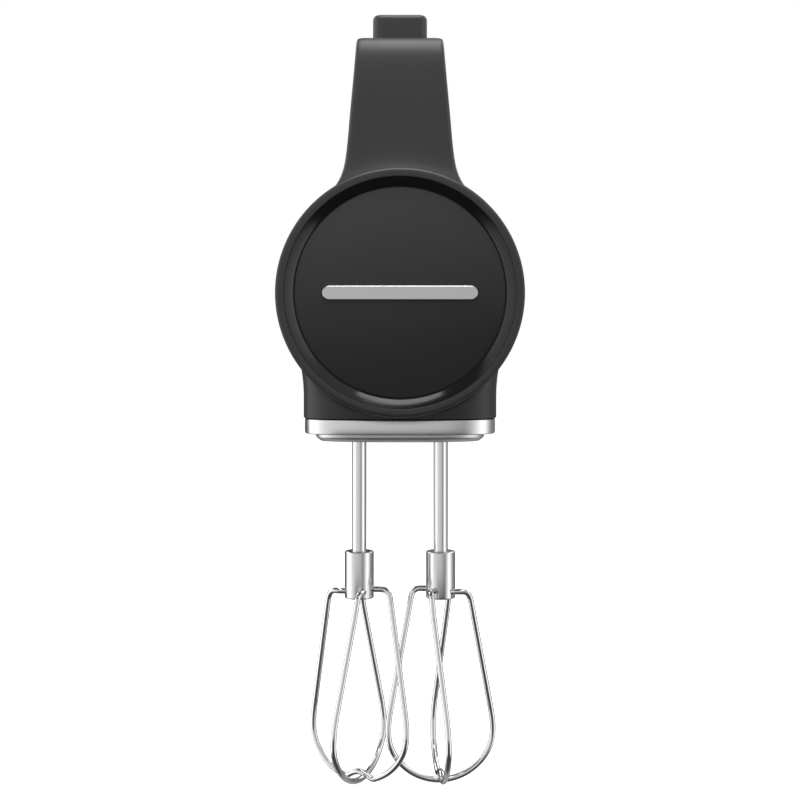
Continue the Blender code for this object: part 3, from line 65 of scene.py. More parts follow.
# ---- Shader patterns ---------------------------------------------------------------------------
class Signal:
    """One output in a material's node tree. Arithmetic on it adds the matching nodes."""

    def __init__(self, tree, socket):
        self.tree, self.socket = tree, socket

    def node(self, kind, inputs=None, settings=None, output=0):
        """Any other node: settings are set first, then each input by name or number."""
        made = self.tree.nodes.new(kind)
        for key, value in (settings or {}).items():
            setattr(made, key, value)
        for key, value in (inputs or {}).items():
            if isinstance(value, Signal):
                self.tree.links.new(value.socket, made.inputs[key])
            else:
                made.inputs[key].default_value = value
        return Signal(self.tree, made.outputs[output])

    def math(self, operation, first, second=None):
        inputs = {0: first} if second is None else {0: first, 1: second}
        return self.node("ShaderNodeMath", inputs, {"operation": operation})

    def __add__(self, other):
        return self.math("ADD", self, other)

    __radd__ = __add__

    def __sub__(self, other):
        return self.math("SUBTRACT", self, other)

    def __rsub__(self, other):
        return self.math("SUBTRACT", other, self)

    def __mul__(self, other):
        return self.math("MULTIPLY", self, other)

    __rmul__ = __mul__

    def __truediv__(self, other):
        return self.math("DIVIDE", self, other)

    def part(self, axis):
        """The x, y or z of a vector."""
        return self.node("ShaderNodeSeparateXYZ", {0: self}, output="XYZ".index(axis))

    def stretched(self, x, y, z):
        """A vector with each part multiplied."""
        return self.node("ShaderNodeVectorMath", {0: self, 1: (x, y, z)}, {"operation": "MULTIPLY"})

    def noise(self, scale, detail=3.0):
        return self.node("ShaderNodeTexNoise", {"Vector": self, "Scale": scale, "Detail": detail})

    def cells(self, scale):
        return self.node("ShaderNodeTexVoronoi", {"Vector": self, "Scale": scale})

    def between(self, low, high, to_low=0.0, to_high=1.0):
        """The value's place from low to high, smoothed and carried to a new range."""
        return self.node(
            "ShaderNodeMapRange",
            {"Value": self, "From Min": low, "From Max": high, "To Min": to_low, "To Max": to_high},
            {"interpolation_type": "SMOOTHSTEP"})

    def ramp(self, stops):
        """A level that follows this value through (place, level) stops."""
        made = self.tree.nodes.new("ShaderNodeValToRGB")
        marks = made.color_ramp.elements
        while len(marks) < len(stops):
            marks.new(0.5)
        for mark, (place, level) in zip(marks, stops):
            mark.position = place
            mark.color = (level, level, level, 1)
        self.tree.links.new(self.socket, made.inputs[0])
        return Signal(self.tree, made.outputs[0])

    def tint(self, colour, other):
        """Between two colours by this value."""
        mix = self.tree.nodes.new("ShaderNodeMix")
        mix.data_type = "RGBA"
        self.tree.links.new(self.socket, mix.inputs[0])
        mix.inputs[6].default_value = (*colour, 1)
        mix.inputs[7].default_value = (*other, 1)
        return Signal(self.tree, mix.outputs[2])

    def bump(self, height, depth, strength=1.0):
        return self.node("ShaderNodeBump", {"Height": height, "Distance": depth, "Strength": strength})


class Finish:
    """A Principled material and the coordinates that its patterns read."""

    def __init__(self, name, metallic=0.0):
        self.material = bpy.data.materials.new(name)
        self.material.use_nodes = True
        self.tree = self.material.node_tree
        self.shader = self.tree.nodes["Principled BSDF"]
        self.shader.inputs["Metallic"].default_value = metallic
        coordinates = self.tree.nodes.new("ShaderNodeTexCoord")
        self.place = Signal(self.tree, coordinates.outputs["Object"])

    def feed(self, **signals):
        for key, value in signals.items():
            self.tree.links.new(value.socket, self.shader.inputs[key.replace("_", " ")])
        return self.material


def moulded(name, colour, roughness, grain=0.02, grain_scale=2600.0, tone=0.12):
    """Moulded plastic: a fine spark-eroded grain, slow changes of tone, and faint handling smudges."""
    made = Finish(name)
    place = made.place
    slow = place.noise(24, 2)
    smudge = place.stretched(1, 1, 0.6).noise(70, 4).between(0.45, 0.7)
    light = [min(1.0, channel * (1 + tone)) for channel in colour]
    dark = [channel * (1 - tone) for channel in colour]
    height = place.noise(grain_scale, 2) + place.cells(grain_scale * 0.6) * 0.5
    return made.feed(
        Base_Color=slow.tint(dark, light),
        Roughness=roughness - 0.03 + smudge * 0.06 + slow * 0.02,
        Normal=place.bump(height, grain * MM, 0.35))


def drawn_metal(name, colour, roughness, streaks, depth=0.01, tone=0.06):
    """Metal with a directional finish. Streaks is how fast the pattern changes along x, y and z."""
    made = Finish(name, metallic=1.0)
    place = made.place
    lines = place.stretched(*streaks).noise(1, 3)
    slow = place.noise(40, 2)
    light = [min(1.0, channel * (1 + tone)) for channel in colour]
    dark = [channel * (1 - tone) for channel in colour]
    return made.feed(
        Base_Color=(lines * 0.6 + slow * 0.4).tint(dark, light),
        Roughness=roughness * 0.85 + lines * roughness * 0.3 + slow * 0.02,
        Normal=place.bump(lines, depth * MM, 0.3))


def disc_paint_with_painted_light():
    """The nose disc's satin paint, with painted light in its colour: paler towards the top and the left,
    darker towards the bottom right, as the lamps from above and the left would light it.
    """
    made = Finish("disc_satin_painted_light")
    place = made.place
    height = place.part("Z").between(22 * MM, 100 * MM)
    side = place.part("X").between(-40 * MM, 42 * MM)
    # Painted light: the base colour grows lighter with height and towards the left, standing in for the top
    # and left lighting. Only the small noise term is random tone.
    tone = height * 0.85 - side * 0.16 + place.noise(30, 2) * 0.06
    grain = place.noise(2600, 2)
    smudge = place.noise(60, 4).between(0.45, 0.7)
    return made.feed(
        Base_Color=tone.tint((0.005, 0.0048, 0.0054), (0.055, 0.052, 0.0567)),
        Roughness=0.46 + smudge * 0.05,
        Normal=place.bump(grain, 0.012 * MM, 0.3))


def wrapped_cell():
    """A cell's shrink sleeve, with a bare positive end."""
    made = Finish("cell_sleeve")
    place = made.place
    top = place.part("Z").between(92.5 * MM, 93.3 * MM)
    return made.feed(
        Base_Color=top.tint((0.05, 0.22, 0.26), (0.6, 0.6, 0.6)),
        Roughness=0.34 + place.noise(300, 3) * 0.12,
        Metallic=top * 0.9)


def circuit_board():
    """Green solder mask with paler tracks."""
    made = Finish("solder_mask")
    place = made.place
    tracks = place.cells(420).between(0.32, 0.4)
    return made.feed(
        Base_Color=tracks.tint((0.05, 0.2, 0.09), (0.012, 0.075, 0.03)),
        Roughness=0.3 + place.noise(500, 2) * 0.1,
        Normal=place.bump(tracks, 0.04 * MM, 0.5))


FINISHES = {
    "charcoal_plastic": moulded("charcoal_shell", (0.0388, 0.0363, 0.0401), 0.43),
    "gloss_black_plastic": moulded("gloss_cone", (0.009, 0.009, 0.0095), 0.13, 0.004, 900, 0.1),
    "black_plastic": moulded("black_grip", (0.014, 0.014, 0.0148), 0.52, 0.035, 1700),
    "grey_plastic": moulded("grey_moulding", (0.12, 0.12, 0.125), 0.48, 0.02, 2200),
    "acetal": moulded("white_acetal", (0.72, 0.71, 0.66), 0.42, 0.01, 1500, 0.05),
    "stainless": drawn_metal("bright_wire", (0.8, 0.8, 0.805), 0.1, (300, 300, 2600), 0.003),
    "brushed_trim": drawn_metal("brushed_band", (0.82, 0.82, 0.825), 0.25, (60, 60, 5200), 0.006),
    "badge_silver": drawn_metal("badge_silver", (0.72, 0.72, 0.73), 0.3, (60, 900, 4200), 0.006),
    "steel": drawn_metal("machined_steel", (0.56, 0.56, 0.57), 0.28, (900, 900, 900), 0.006),
    "dark_steel": drawn_metal("blued_steel", (0.14, 0.14, 0.15), 0.42, (500, 2400, 500), 0.01),
    "bronze": drawn_metal("sintered_bronze", (0.5, 0.33, 0.17), 0.4, (2600, 2600, 2600), 0.02, 0.2),
    "copper": drawn_metal("bare_copper", (0.74, 0.36, 0.21), 0.3, (900, 900, 900), 0.006, 0.12),
    "cell_wrap": wrapped_cell(),
    "board_green": circuit_board(),
    "ferrite": moulded("ferrite", (0.035, 0.035, 0.037), 0.7, 0.04, 1200, 0.25),
}
TURNED_HUB = drawn_metal("turned_hub", (0.76, 0.76, 0.765), 0.18, (40, 40, 4200), 0.006)
LIP_SATIN = drawn_metal("satin_lip", (0.8, 0.8, 0.805), 0.4, (60, 60, 5200), 0.006)
# The disc's satin material, with painted light graded into its colour.
DISC_PAINTED_LIGHT_SATIN = disc_paint_with_painted_light()
LAMP_LENS = moulded("lamp_lens", (0.55, 0.56, 0.58), 0.2, 0.002, 500, 0.05)
RUBBER = moulded("heel_rubber", (0.018, 0.018, 0.019), 0.75, 0.05, 1300)

CARRIED = {
    "grey_plastic": ("battery_lid", "gear_frame", "gear_frame_cap"),
    "black_plastic": ("battery_dock", "motor_end_bell"),
    "acetal": ("eject_fork", "eject_rod", "left_gear", "right_gear", "left_push_pin", "right_push_pin"),
    "steel": ("heat_sink", "left_spindle", "right_spindle", "motor_shaft", "worm", "eject_spring"),
    "dark_steel": ("armature", "motor_can"),
    "bronze": ("left_spindle_bush", "right_spindle_bush", "motor_front_bush", "motor_rear_bush",
               "worm_end_bush"),
    "copper": ("commutator", "terminal_block"),
    "cell_wrap": ("cell_1", "cell_2", "cell_3"),
    "board_green": ("control_board", "switch_board"),
    "ferrite": ("left_magnet", "right_magnet"),
}
for slot_name, node_names in CARRIED.items():
    for node_name in node_names:
        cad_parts[node_name].material_slots[0].material = FINISHES[slot_name]


# ---- Mesh tools --------------------------------------------------------------------------------
def piece(name, mesh, body, slot, replaces=(), finish=None, smooth=32):
    """Links a finished mesh, shades it, and puts it on its body."""
    mesh.materials.clear()
    mesh.materials.append(finish or FINISHES[slot])
    mesh.shade_smooth()
    mesh.set_sharp_from_angle(angle=math.radians(smooth))
    obj = bpy.data.objects.new(name, mesh)
    bpy.context.scene.collection.objects.link(obj)
    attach(obj, body)
    if replaces:
        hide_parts(*replaces)
    return obj


def mesh_of(bm):
    """The finished mesh of a bmesh, with its faces turned outwards."""
    bmesh.ops.recalc_face_normals(bm, faces=bm.faces)
    mesh = bpy.data.meshes.new("made")
    bm.to_mesh(mesh)
    bm.free()
    return mesh


def eased(start, corner, end, steps):
    """Points on the quadratic curve that turns a corner."""
    places = (k / steps for k in range(steps + 1))
    return [start * (1 - t) ** 2 + corner * 2 * t * (1 - t) + end * t ** 2 for t in places]


def filleted(points, radius, steps=4, closed=False):
    """A polyline with each corner rounded. Radius is one number, or one for each point."""
    count = len(points)
    made = []
    for i, point in enumerate(points):
        corner = Vector(point)
        reach = radius[i] if isinstance(radius, (list, tuple)) else radius
        if reach == 0 or (not closed and i in (0, count - 1)):
            made.append(corner)
            continue
        before, after = Vector(points[i - 1]) - corner, Vector(points[(i + 1) % count]) - corner
        cut_back = min(reach, before.length * 0.49, after.length * 0.49)
        start, end = corner + before.normalized() * cut_back, corner + after.normalized() * cut_back
        made += eased(start, corner, end, steps)
    return made


def bridged(bm, rings, closed_along=False):
    """Faces between each ring of vertices and the next."""
    pairs = list(zip(rings, rings[1:]))
    if closed_along:
        pairs.append((rings[-1], rings[0]))
    for low, high in pairs:
        for i in range(len(low)):
            j = (i + 1) % len(low)
            bm.faces.new((low[i], low[j], high[j], high[i]))


def tipped(bm, ring, point):
    """A fan of faces from a ring to one point."""
    tip = bm.verts.new(point)
    for i in range(len(ring)):
        bm.faces.new((ring[i], ring[(i + 1) % len(ring)], tip))


def loft(loops, closed_along=False):
    """A closed skin through loops of points of equal length, with flat ends or joined end to end."""
    bm = bmesh.new()
    rings = [[bm.verts.new(point) for point in loop] for loop in loops]
    if not closed_along:
        bm.faces.new(reversed(rings[0]))
        bm.faces.new(rings[-1])
    bridged(bm, rings, closed_along)
    return mesh_of(bm)


def turned(profile, centre=(0, 0, 0), along_y=False, steps=96):
    """A turned skin from (radius, height) points. Both ends of an open profile lie on the axis."""
    on_axis = abs(profile[0][0]) < 1e-9
    inner = profile[1:-1] if on_axis else profile
    bm = bmesh.new()
    centre = Vector(centre)

    def placed(radius, angle, height):
        x, other = radius * math.cos(angle), radius * math.sin(angle)
        return centre + (Vector((x, height, other)) if along_y else Vector((x, other, height)))

    rings = [[bm.verts.new(placed(r, math.tau * k / steps, h)) for k in range(steps)] for r, h in inner]
    bridged(bm, rings, not on_axis)
    if on_axis:
        for ring, (_, height) in ((rings[0], profile[0]), (rings[-1], profile[-1])):
            tipped(bm, ring, placed(0, 0, height))
    return mesh_of(bm)


def rounded_rectangle(half_x, half_y, corner, per_corner=8):
    """Points round a rectangle, anticlockwise."""
    points = []
    for quarter in range(4):
        sign_x = 1 if quarter in (0, 3) else -1
        sign_y = 1 if quarter in (0, 1) else -1
        for i in range(per_corner + 1):
            angle = math.pi / 2 * (quarter + i / per_corner)
            points.append((sign_x * (half_x - corner) + corner * math.cos(angle),
                           sign_y * (half_y - corner) + corner * math.sin(angle)))
    return points


def spline_loop(points, per_span):
    """The closed cubic B-spline of a control loop, which is the edge a subdivided surface ends on."""
    count = len(points)
    made = []
    for i in range(count):
        a, b, c, d = (Vector(points[(i + k) % count]) for k in range(-1, 3))
        for step in range(per_span):
            t = step / per_span
            made.append((a * (1 - t) ** 3 + b * (3 * t ** 3 - 6 * t ** 2 + 4)
                         + c * (-3 * t ** 3 + 3 * t ** 2 + 3 * t + 1) + d * t ** 3) / 6)
    return made


def inset(loop, distance):
    """A flat anticlockwise loop moved inwards."""
    made = []
    for i, point in enumerate(loop):
        before, after = Vector(loop[i - 1]), Vector(loop[(i + 1) % len(loop)])
        along = (after - before).normalized()
        made.append((point[0] - along.y * distance, point[1] + along.x * distance))
    return made


def shrunk(loop, distance):
    """A flat loop drawn in towards its middle. Its sides move by this distance, and no corner folds."""
    middle = [(min(values) + max(values)) / 2 for values in zip(*loop)]
    halves = [(max(values) - min(values)) / 2 for values in zip(*loop)]
    return [tuple(m + (value - m) * (1 - distance / half) for value, m, half in zip(point, middle, halves))
            for point in loop]


def stacked(outline, steps, axis="Z", centre=(0, 0)):
    """Loops of an outline function of (inset, height) pairs, laid across an axis."""
    loops = []
    for amount, height in steps:
        loop = []
        for u, v in outline(amount):
            u, v = u + centre[0], v + centre[1]
            loop.append({"X": (height, u, v), "Y": (u, height, v), "Z": (u, v, height)}[axis])
        loops.append(loop)
    return loops


def tube(points, radius, sides=20):
    """A round wire along points with domed ends."""
    bm = bmesh.new()
    points = [Vector(p) for p in points]
    tangents = []
    for i in range(len(points)):
        tangents.append((points[min(i + 1, len(points) - 1)] - points[max(i - 1, 0)]).normalized())
    normal = tangents[0].orthogonal().normalized()
    rings = []
    for point, tangent in zip(points, tangents):
        normal = (normal - tangent * normal.dot(tangent)).normalized()
        across = tangent.cross(normal)
        rings.append([bm.verts.new(point + (normal * math.cos(a) + across * math.sin(a)) * radius)
                      for a in (math.tau * k / sides for k in range(sides))])
    bridged(bm, rings)
    tipped(bm, rings[0], points[0] - tangents[0] * radius * 0.5)
    tipped(bm, rings[-1], points[-1] + tangents[-1] * radius * 0.5)
    return mesh_of(bm)


def smoothed(points, per_span=4):
    """A finer line that passes through every point."""
    made = []
    for i in range(len(points) - 1):
        a, b, c, d = (points[min(max(i + k, 0), len(points) - 1)] for k in (-1, 0, 1, 2))
        for step in range(per_span):
            t = step / per_span
            made.append(0.5 * ((2 * b) + (c - a) * t + (2 * a - 5 * b + 4 * c - d) * t * t
                               + (3 * b - a - 3 * c + d) * t ** 3))
    return made + [points[-1]]


def joined(*meshes):
    """Separate skins in one mesh."""
    bm = bmesh.new()
    for mesh in meshes:
        bm.from_mesh(mesh)
    made = bpy.data.meshes.new("joined")
    bm.to_mesh(made)
    bm.free()
    return made


def applied(mesh, *modifiers):
    """The mesh with modifiers applied. Each is (type, settings)."""
    obj = bpy.data.objects.new("working", mesh)
    bpy.context.scene.collection.objects.link(obj)
    for kind, settings in modifiers:
        modifier = obj.modifiers.new(kind.title(), kind)
        for key, value in settings.items():
            setattr(modifier, key, value)
    bpy.context.view_layer.update()
    made = bpy.data.meshes.new_from_object(obj.evaluated_get(bpy.context.evaluated_depsgraph_get()))
    bpy.data.objects.remove(obj)
    return made


def cut(mesh, *cutters):
    """The mesh less each closed cutter mesh."""
    helpers = []
    modifiers = []
    for cutter in cutters:
        helper = bpy.data.objects.new("cutter", cutter)
        bpy.context.scene.collection.objects.link(helper)
        helpers.append(helper)
        modifiers.append(("BOOLEAN", {"operation": "DIFFERENCE", "solver": "EXACT", "object": helper}))
    made = applied(mesh, *modifiers)
    for helper in helpers:
        bpy.data.objects.remove(helper)
    return made


def block(low, high, bevel=0.0):
    """A box between two corners with eased edges."""
    bm = bmesh.new()
    low, high = Vector(low), Vector(high)
    bmesh.ops.create_cube(bm, size=1)
    bmesh.ops.scale(bm, vec=high - low, verts=bm.verts)
    bmesh.ops.translate(bm, vec=(low + high) / 2, verts=bm.verts)
    if bevel:
        bmesh.ops.bevel(bm, geom=bm.edges[:], offset=bevel, segments=2, profile=0.5, affect="EDGES")
    return mesh_of(bm)


def quarter_round(reach, start, rise, count=8):
    """(inset, height) pairs round a quarter of an oval, from its upright side to its flat top."""
    angles = (math.pi / 2 * k / count for k in range(1, count + 1))
    return [(reach * (1 - math.cos(a)), start + rise * math.sin(a)) for a in angles]


def prism(half_x, half_y, corner, centre, low, high, axis="Z"):
    return loft(stacked(lambda grow: rounded_rectangle(half_x, half_y, corner), [(0, low), (0, high)],
                        axis, centre))


# ---- Repeated details, by Geometry Nodes -------------------------------------------------------
class Repeater:
    """A Geometry Nodes tree that sets copies of one shape on points, with a size for each named input."""

    def __init__(self, name, **sizes):
        self.tree = bpy.data.node_groups.new(name, "GeometryNodeTree")
        self.sizes = sizes
        self.keys = {}
        for size in sizes:
            socket = self.tree.interface.new_socket(size, in_out="INPUT", socket_type="NodeSocketFloat")
            self.keys[size] = socket.identifier
        self.tree.interface.new_socket("Geometry", in_out="OUTPUT", socket_type="NodeSocketGeometry")
        self.given = self.tree.nodes.new("NodeGroupInput")

    def size(self, name):
        return self.given.outputs[name]

    def node(self, kind, inputs=None, settings=None, output=0):
        made = self.tree.nodes.new(kind)
        for key, value in (settings or {}).items():
            setattr(made, key, value)
        for key, value in (inputs or {}).items():
            if isinstance(value, bpy.types.NodeSocket):
                self.tree.links.new(value, made.inputs[key])
            else:
                made.inputs[key].default_value = value
        return made.outputs[output]

    def vector(self, x=0.0, y=0.0, z=0.0):
        return self.node("ShaderNodeCombineXYZ", {0: x, 1: y, 2: z})

    def line(self, count, start, step):
        """Points a step apart from a start."""
        return self.node("GeometryNodeMeshLine", {"Count": count, "Start Location": start, "Offset": step},
                         {"mode": "OFFSET", "count_mode": "TOTAL"})

    def copies(self, points, shape, **more):
        return self.node("GeometryNodeInstanceOnPoints", {"Points": points, "Instance": shape, **more})

    def together(self, *shapes):
        join = self.tree.nodes.new("GeometryNodeJoinGeometry")
        for shape in reversed(shapes):
            self.tree.links.new(shape, join.inputs[0])
        return join.outputs[0]

    def rounded_bar(self, x, y, z, corner):
        """A bar whose upright corners are round, from a filled and raised rounded rectangle."""
        sheet = self.node("GeometryNodeCurvePrimitiveQuadrilateral", {"Width": x, "Height": y})
        eased = self.node("GeometryNodeFilletCurve", {"Curve": sheet, "Radius": corner, "Count": 5},
                          {"mode": "POLY"})
        face = self.node("GeometryNodeFillCurve", {"Curve": eased}, {"mode": "NGONS"})
        raised = self.tree.nodes.new("GeometryNodeExtrudeMesh")
        self.tree.links.new(face, raised.inputs["Mesh"])
        self.tree.links.new(self.vector(z=z), raised.inputs["Offset"])
        raised.inputs["Individual"].default_value = False
        under = self.node("GeometryNodeFlipFaces", {0: face})
        both = self.together(raised.outputs[0], under)
        return self.node("GeometryNodeMergeByDistance", {"Geometry": both, "Distance": 1e-6})

    def made(self, geometry, material):
        """The finished mesh. The tree ends in Realize Instances and Set Material."""
        real = self.node("GeometryNodeRealizeInstances", {0: geometry})
        dressed = self.node("GeometryNodeSetMaterial", {"Geometry": real, "Material": material})
        end = self.tree.nodes.new("NodeGroupOutput")
        self.tree.links.new(dressed, end.inputs[0])
        holder = bpy.data.objects.new("holder", bpy.data.meshes.new("holder"))
        bpy.context.scene.collection.objects.link(holder)
        modifier = holder.modifiers.new("Repeat", "NODES")
        modifier.node_group = self.tree
        for size, key in self.keys.items():
            modifier[key] = self.sizes[size]
        bpy.context.view_layer.update()
        mesh = bpy.data.meshes.new_from_object(holder.evaluated_get(bpy.context.evaluated_depsgraph_get()))
        bpy.data.objects.remove(holder)
        bm = bmesh.new()
        bm.from_mesh(mesh)
        bmesh.ops.recalc_face_normals(bm, faces=bm.faces)
        bm.to_mesh(mesh)
        bm.free()
        return mesh


# ---- Housing -----------------------------------------------------------------------------------
BARREL_RADIUS = 45.5 * MM
BARREL_FRONT, BARREL_REAR = -49 * MM, 88 * MM
REAR_HALF_WIDTH, REAR_HALF_HEIGHT, REAR_AXIS_Z = 24 * MM, 39.5 * MM, 62 * MM
COLUMN_FRONT, COLUMN_BACK = -46.6 * MM, -17.5 * MM
FOOT_FLARE, FOOT_SPREAD, FOOT_RISE, FOOT_HEIGHT = 3.8 * MM, 5 * MM, 3.6 * MM, 3.4 * MM
HANDLE_TOP, HANDLE_THICKNESS = 162.7 * MM, 27 * MM
HANDLE_HALF_WIDTH, COLUMN_BASE_HALF_WIDTH = 17.4 * MM, 21.9 * MM
REAR_LEG_FRONT = 61 * MM
SKIRT_HALF_WIDTH, SKIRT_REAR_HALF_WIDTH = 40 * MM, 35.5 * MM
SKIRT_FRONT, SKIRT_BOW, SKIRT_REAR = -33 * MM, 3 * MM, 50 * MM
SKIRT_CORNER_IN, SKIRT_CORNER_BACK = 1.5 * MM, 4 * MM
SKIRT_RIM_Z = 9.7 * MM
SHELL_WALL = 2 * MM
FIT = 0.3 * MM
PANEL_FRONT, PANEL_REAR, PANEL_HALF_WIDTH = -4 * MM, 60 * MM, 12.5 * MM
OPENING_CORNER, PANEL_DEPTH, BUTTON_DEPTH, CUTTER_OVER = 4 * MM, 6 * MM, 9 * MM, 5 * MM
BUTTON_HALF_X, BUTTON_HALF_Y = 10.9 * MM, 11 * MM
SLIDER_REST_Y, SLIDER_TRAVEL, STEM_HALF_X, STEM_HALF_Y = 10 * MM, 21 * MM, 3 * MM, 3.5 * MM
VENT_COUNT, VENT_FIRST_Y, VENT_PITCH, VENT_REACH = 5, 40 * MM, 4.4 * MM, 80 * MM
VENT_HALF_WIDTH, VENT_HALF_HEIGHT, VENT_CORNER = 0.9 * MM, 10 * MM, 0.88 * MM
SCREEN_THREADS, SCREEN_PITCH, THREAD_RADIUS = 22, 1.1 * MM, 0.34 * MM
SPREAD = 3 / (2 + math.cos(math.tau / 16))
STATIONS = [BARREL_FRONT, -45 * MM, -38 * MM, -27 * MM, COLUMN_BACK, 6 * MM, 28 * MM,
            SKIRT_REAR, REAR_LEG_FRONT, 68 * MM, 79 * MM, 85 * MM, BARREL_REAR]
FRONT_LEG, REAR_LEG, SKIRT_ROWS = range(1, 5), range(8, 12), range(3, 8)
TOP_COLUMNS, BOTTOM_COLUMNS = (-2, -1, 0, 1, 2), (11, 10, 9, 8, 7, 6, 5)


def barrel_ring(y):
    """The 16 control points round the barrel at one station, clockwise from the top as seen from the nose."""
    t = max(0.0, (y - COLUMN_BACK) / (BARREL_REAR - COLUMN_BACK))
    ease = t * t * (3 - 2 * t) * 0.6 + t * 0.4
    half_width = (BARREL_RADIUS + (REAR_HALF_WIDTH - BARREL_RADIUS) * ease) * SPREAD
    half_height = (BARREL_RADIUS + (REAR_HALF_HEIGHT - BARREL_RADIUS) * ease) * SPREAD
    axis_z = BARREL_AXIS.z + (REAR_AXIS_Z - BARREL_AXIS.z) * ease
    power = 1 - 0.26 * ease
    ring = []
    for k in range(16):
        side, up = math.sin(math.tau * k / 16), math.cos(math.tau * k / 16)
        ring.append((half_width * math.copysign(abs(side) ** power, side), y,
                     axis_z + half_height * math.copysign(abs(up) ** power, up)))
    return ring


def handle_ring(outer, inner, half_width):
    """The 14 control points round the handle: outer edge left to right, side, inner edge back, side."""
    outer, inner = Vector((0, *outer)), Vector((0, *inner))
    depth = (inner - outer).length
    tight, soft = 4 * MM, 7 * MM
    inner_width = half_width - 1.2 * MM
    across = (-half_width, tight - half_width, 0, half_width - tight, half_width)
    back = (inner_width, inner_width - soft, 0, soft - inner_width, -inner_width)
    sides = [outer.lerp(inner, tight / depth), outer.lerp(inner, 1 - soft / depth)]
    ring = [outer + Vector((x, 0, 0)) for x in across]
    ring += [side + Vector((half_width, 0, 0)) for side in sides]
    ring += [inner + Vector((x, 0, 0)) for x in back]
    return ring + [side + Vector((-half_width, 0, 0)) for side in reversed(sides)]


def handle_rings():
    """Rings from the front column's foot, over the grip, to the rear leg's foot."""
    top, under = HANDLE_TOP, HANDLE_TOP - HANDLE_THICKNESS
    foot_z = BARREL_AXIS.z + BARREL_RADIUS + 4 * MM
    slope = (COLUMN_BASE_HALF_WIDTH - HANDLE_HALF_WIDTH) / (top - 6 * MM - foot_z)

    def width(z):
        return HANDLE_HALF_WIDTH + slope * max(0.0, top - 6 * MM - z)

    def over_barrel(ring, raised):
        """The ring laid over the round barrel."""
        for point in ring:
            point.z = BARREL_AXIS.z + math.sqrt(BARREL_RADIUS ** 2 - point.x ** 2) + raised
        return ring

    front, back, grip = COLUMN_FRONT, COLUMN_BACK, HANDLE_HALF_WIDTH
    rear_z = REAR_AXIS_Z + REAR_HALF_HEIGHT
    foot = handle_ring((front - FOOT_FLARE, foot_z), (back - 1.5 * MM, foot_z),
                       width(foot_z) + FOOT_SPREAD)
    above = handle_ring((front, foot_z), (back - 2.2 * MM, foot_z), width(foot_z + FOOT_HEIGHT))
    return [
        over_barrel(foot, FOOT_RISE),
        over_barrel(above, FOOT_RISE + FOOT_HEIGHT),
        handle_ring((front, foot_z + 20 * MM), (back - 3.5 * MM, foot_z + 16 * MM),
                    width(foot_z + 20 * MM)),
        handle_ring((front + 0.3 * MM, top - 15 * MM), (back - 1.5 * MM, under - 4 * MM),
                    width(top - 15 * MM)),
        handle_ring((front + 2.2 * MM, top - 2.6 * MM), (back + 6 * MM, under - 0.4 * MM), grip),
        handle_ring((front + 13 * MM, top), (back + 15 * MM, under), grip),
        handle_ring((PANEL_FRONT - 2 * MM, top), (6 * MM, under), grip),
        handle_ring((30 * MM, top), (30 * MM, under - 1 * MM), grip - 0.4 * MM),
        handle_ring((PANEL_REAR, top), (54 * MM, under), grip - 0.6 * MM),
        handle_ring((84 * MM, top - 5 * MM), (REAR_LEG_FRONT + 3 * MM, under - 7 * MM), grip),
        handle_ring((95 * MM, top - 24 * MM), (REAR_LEG_FRONT + 5 * MM, under - 17 * MM), grip + 0.6 * MM),
        handle_ring((94 * MM, rear_z + 14 * MM), (REAR_LEG_FRONT + 4 * MM, rear_z + 8 * MM),
                    grip + 1.5 * MM),
    ]


def skirt_plan():
    """The 20 control points round the skirt: front edge left to right, side, rear edge back, side."""
    front = []
    for k in range(-3, 4):
        front.append((SKIRT_HALF_WIDTH * k / 3, SKIRT_FRONT - SKIRT_BOW * (1 - (k / 3) ** 2)))
    corner = (SKIRT_HALF_WIDTH - SKIRT_CORNER_IN, SKIRT_FRONT + SKIRT_CORNER_BACK)
    front[0], front[-1] = (-corner[0], corner[1]), corner
    rear = [(SKIRT_REAR_HALF_WIDTH * k / 3, SKIRT_REAR) for k in range(-3, 4)]
    sides = []
    for row in list(SKIRT_ROWS)[1:-1]:
        t = (STATIONS[row] - SKIRT_FRONT) / (SKIRT_REAR - SKIRT_FRONT)
        sides.append((SKIRT_HALF_WIDTH + (SKIRT_REAR_HALF_WIDTH - SKIRT_HALF_WIDTH) * t * t, STATIONS[row]))
    return front + sides + rear[::-1] + [(-x, y) for x, y in sides[::-1]]


def patch_edge(rings, rows, columns):
    """The vertices round a patch of the barrel: first row, right side, last row back, left side."""
    rows = list(rows)
    edge = [rings[rows[0]][c] for c in columns]
    edge += [rings[r][columns[-1]] for r in rows[1:-1]]
    edge += [rings[rows[-1]][c] for c in reversed(columns)]
    return edge + [rings[r][columns[0]] for r in reversed(rows[1:-1])]


def in_patch(row, k, rows, columns):
    """Whether the barrel's face between columns k and k + 1, after a row, lies inside a patch."""
    spans = {c % 16 for c in sorted(columns)[:-1]}
    return row in list(rows)[:-1] and k in spans


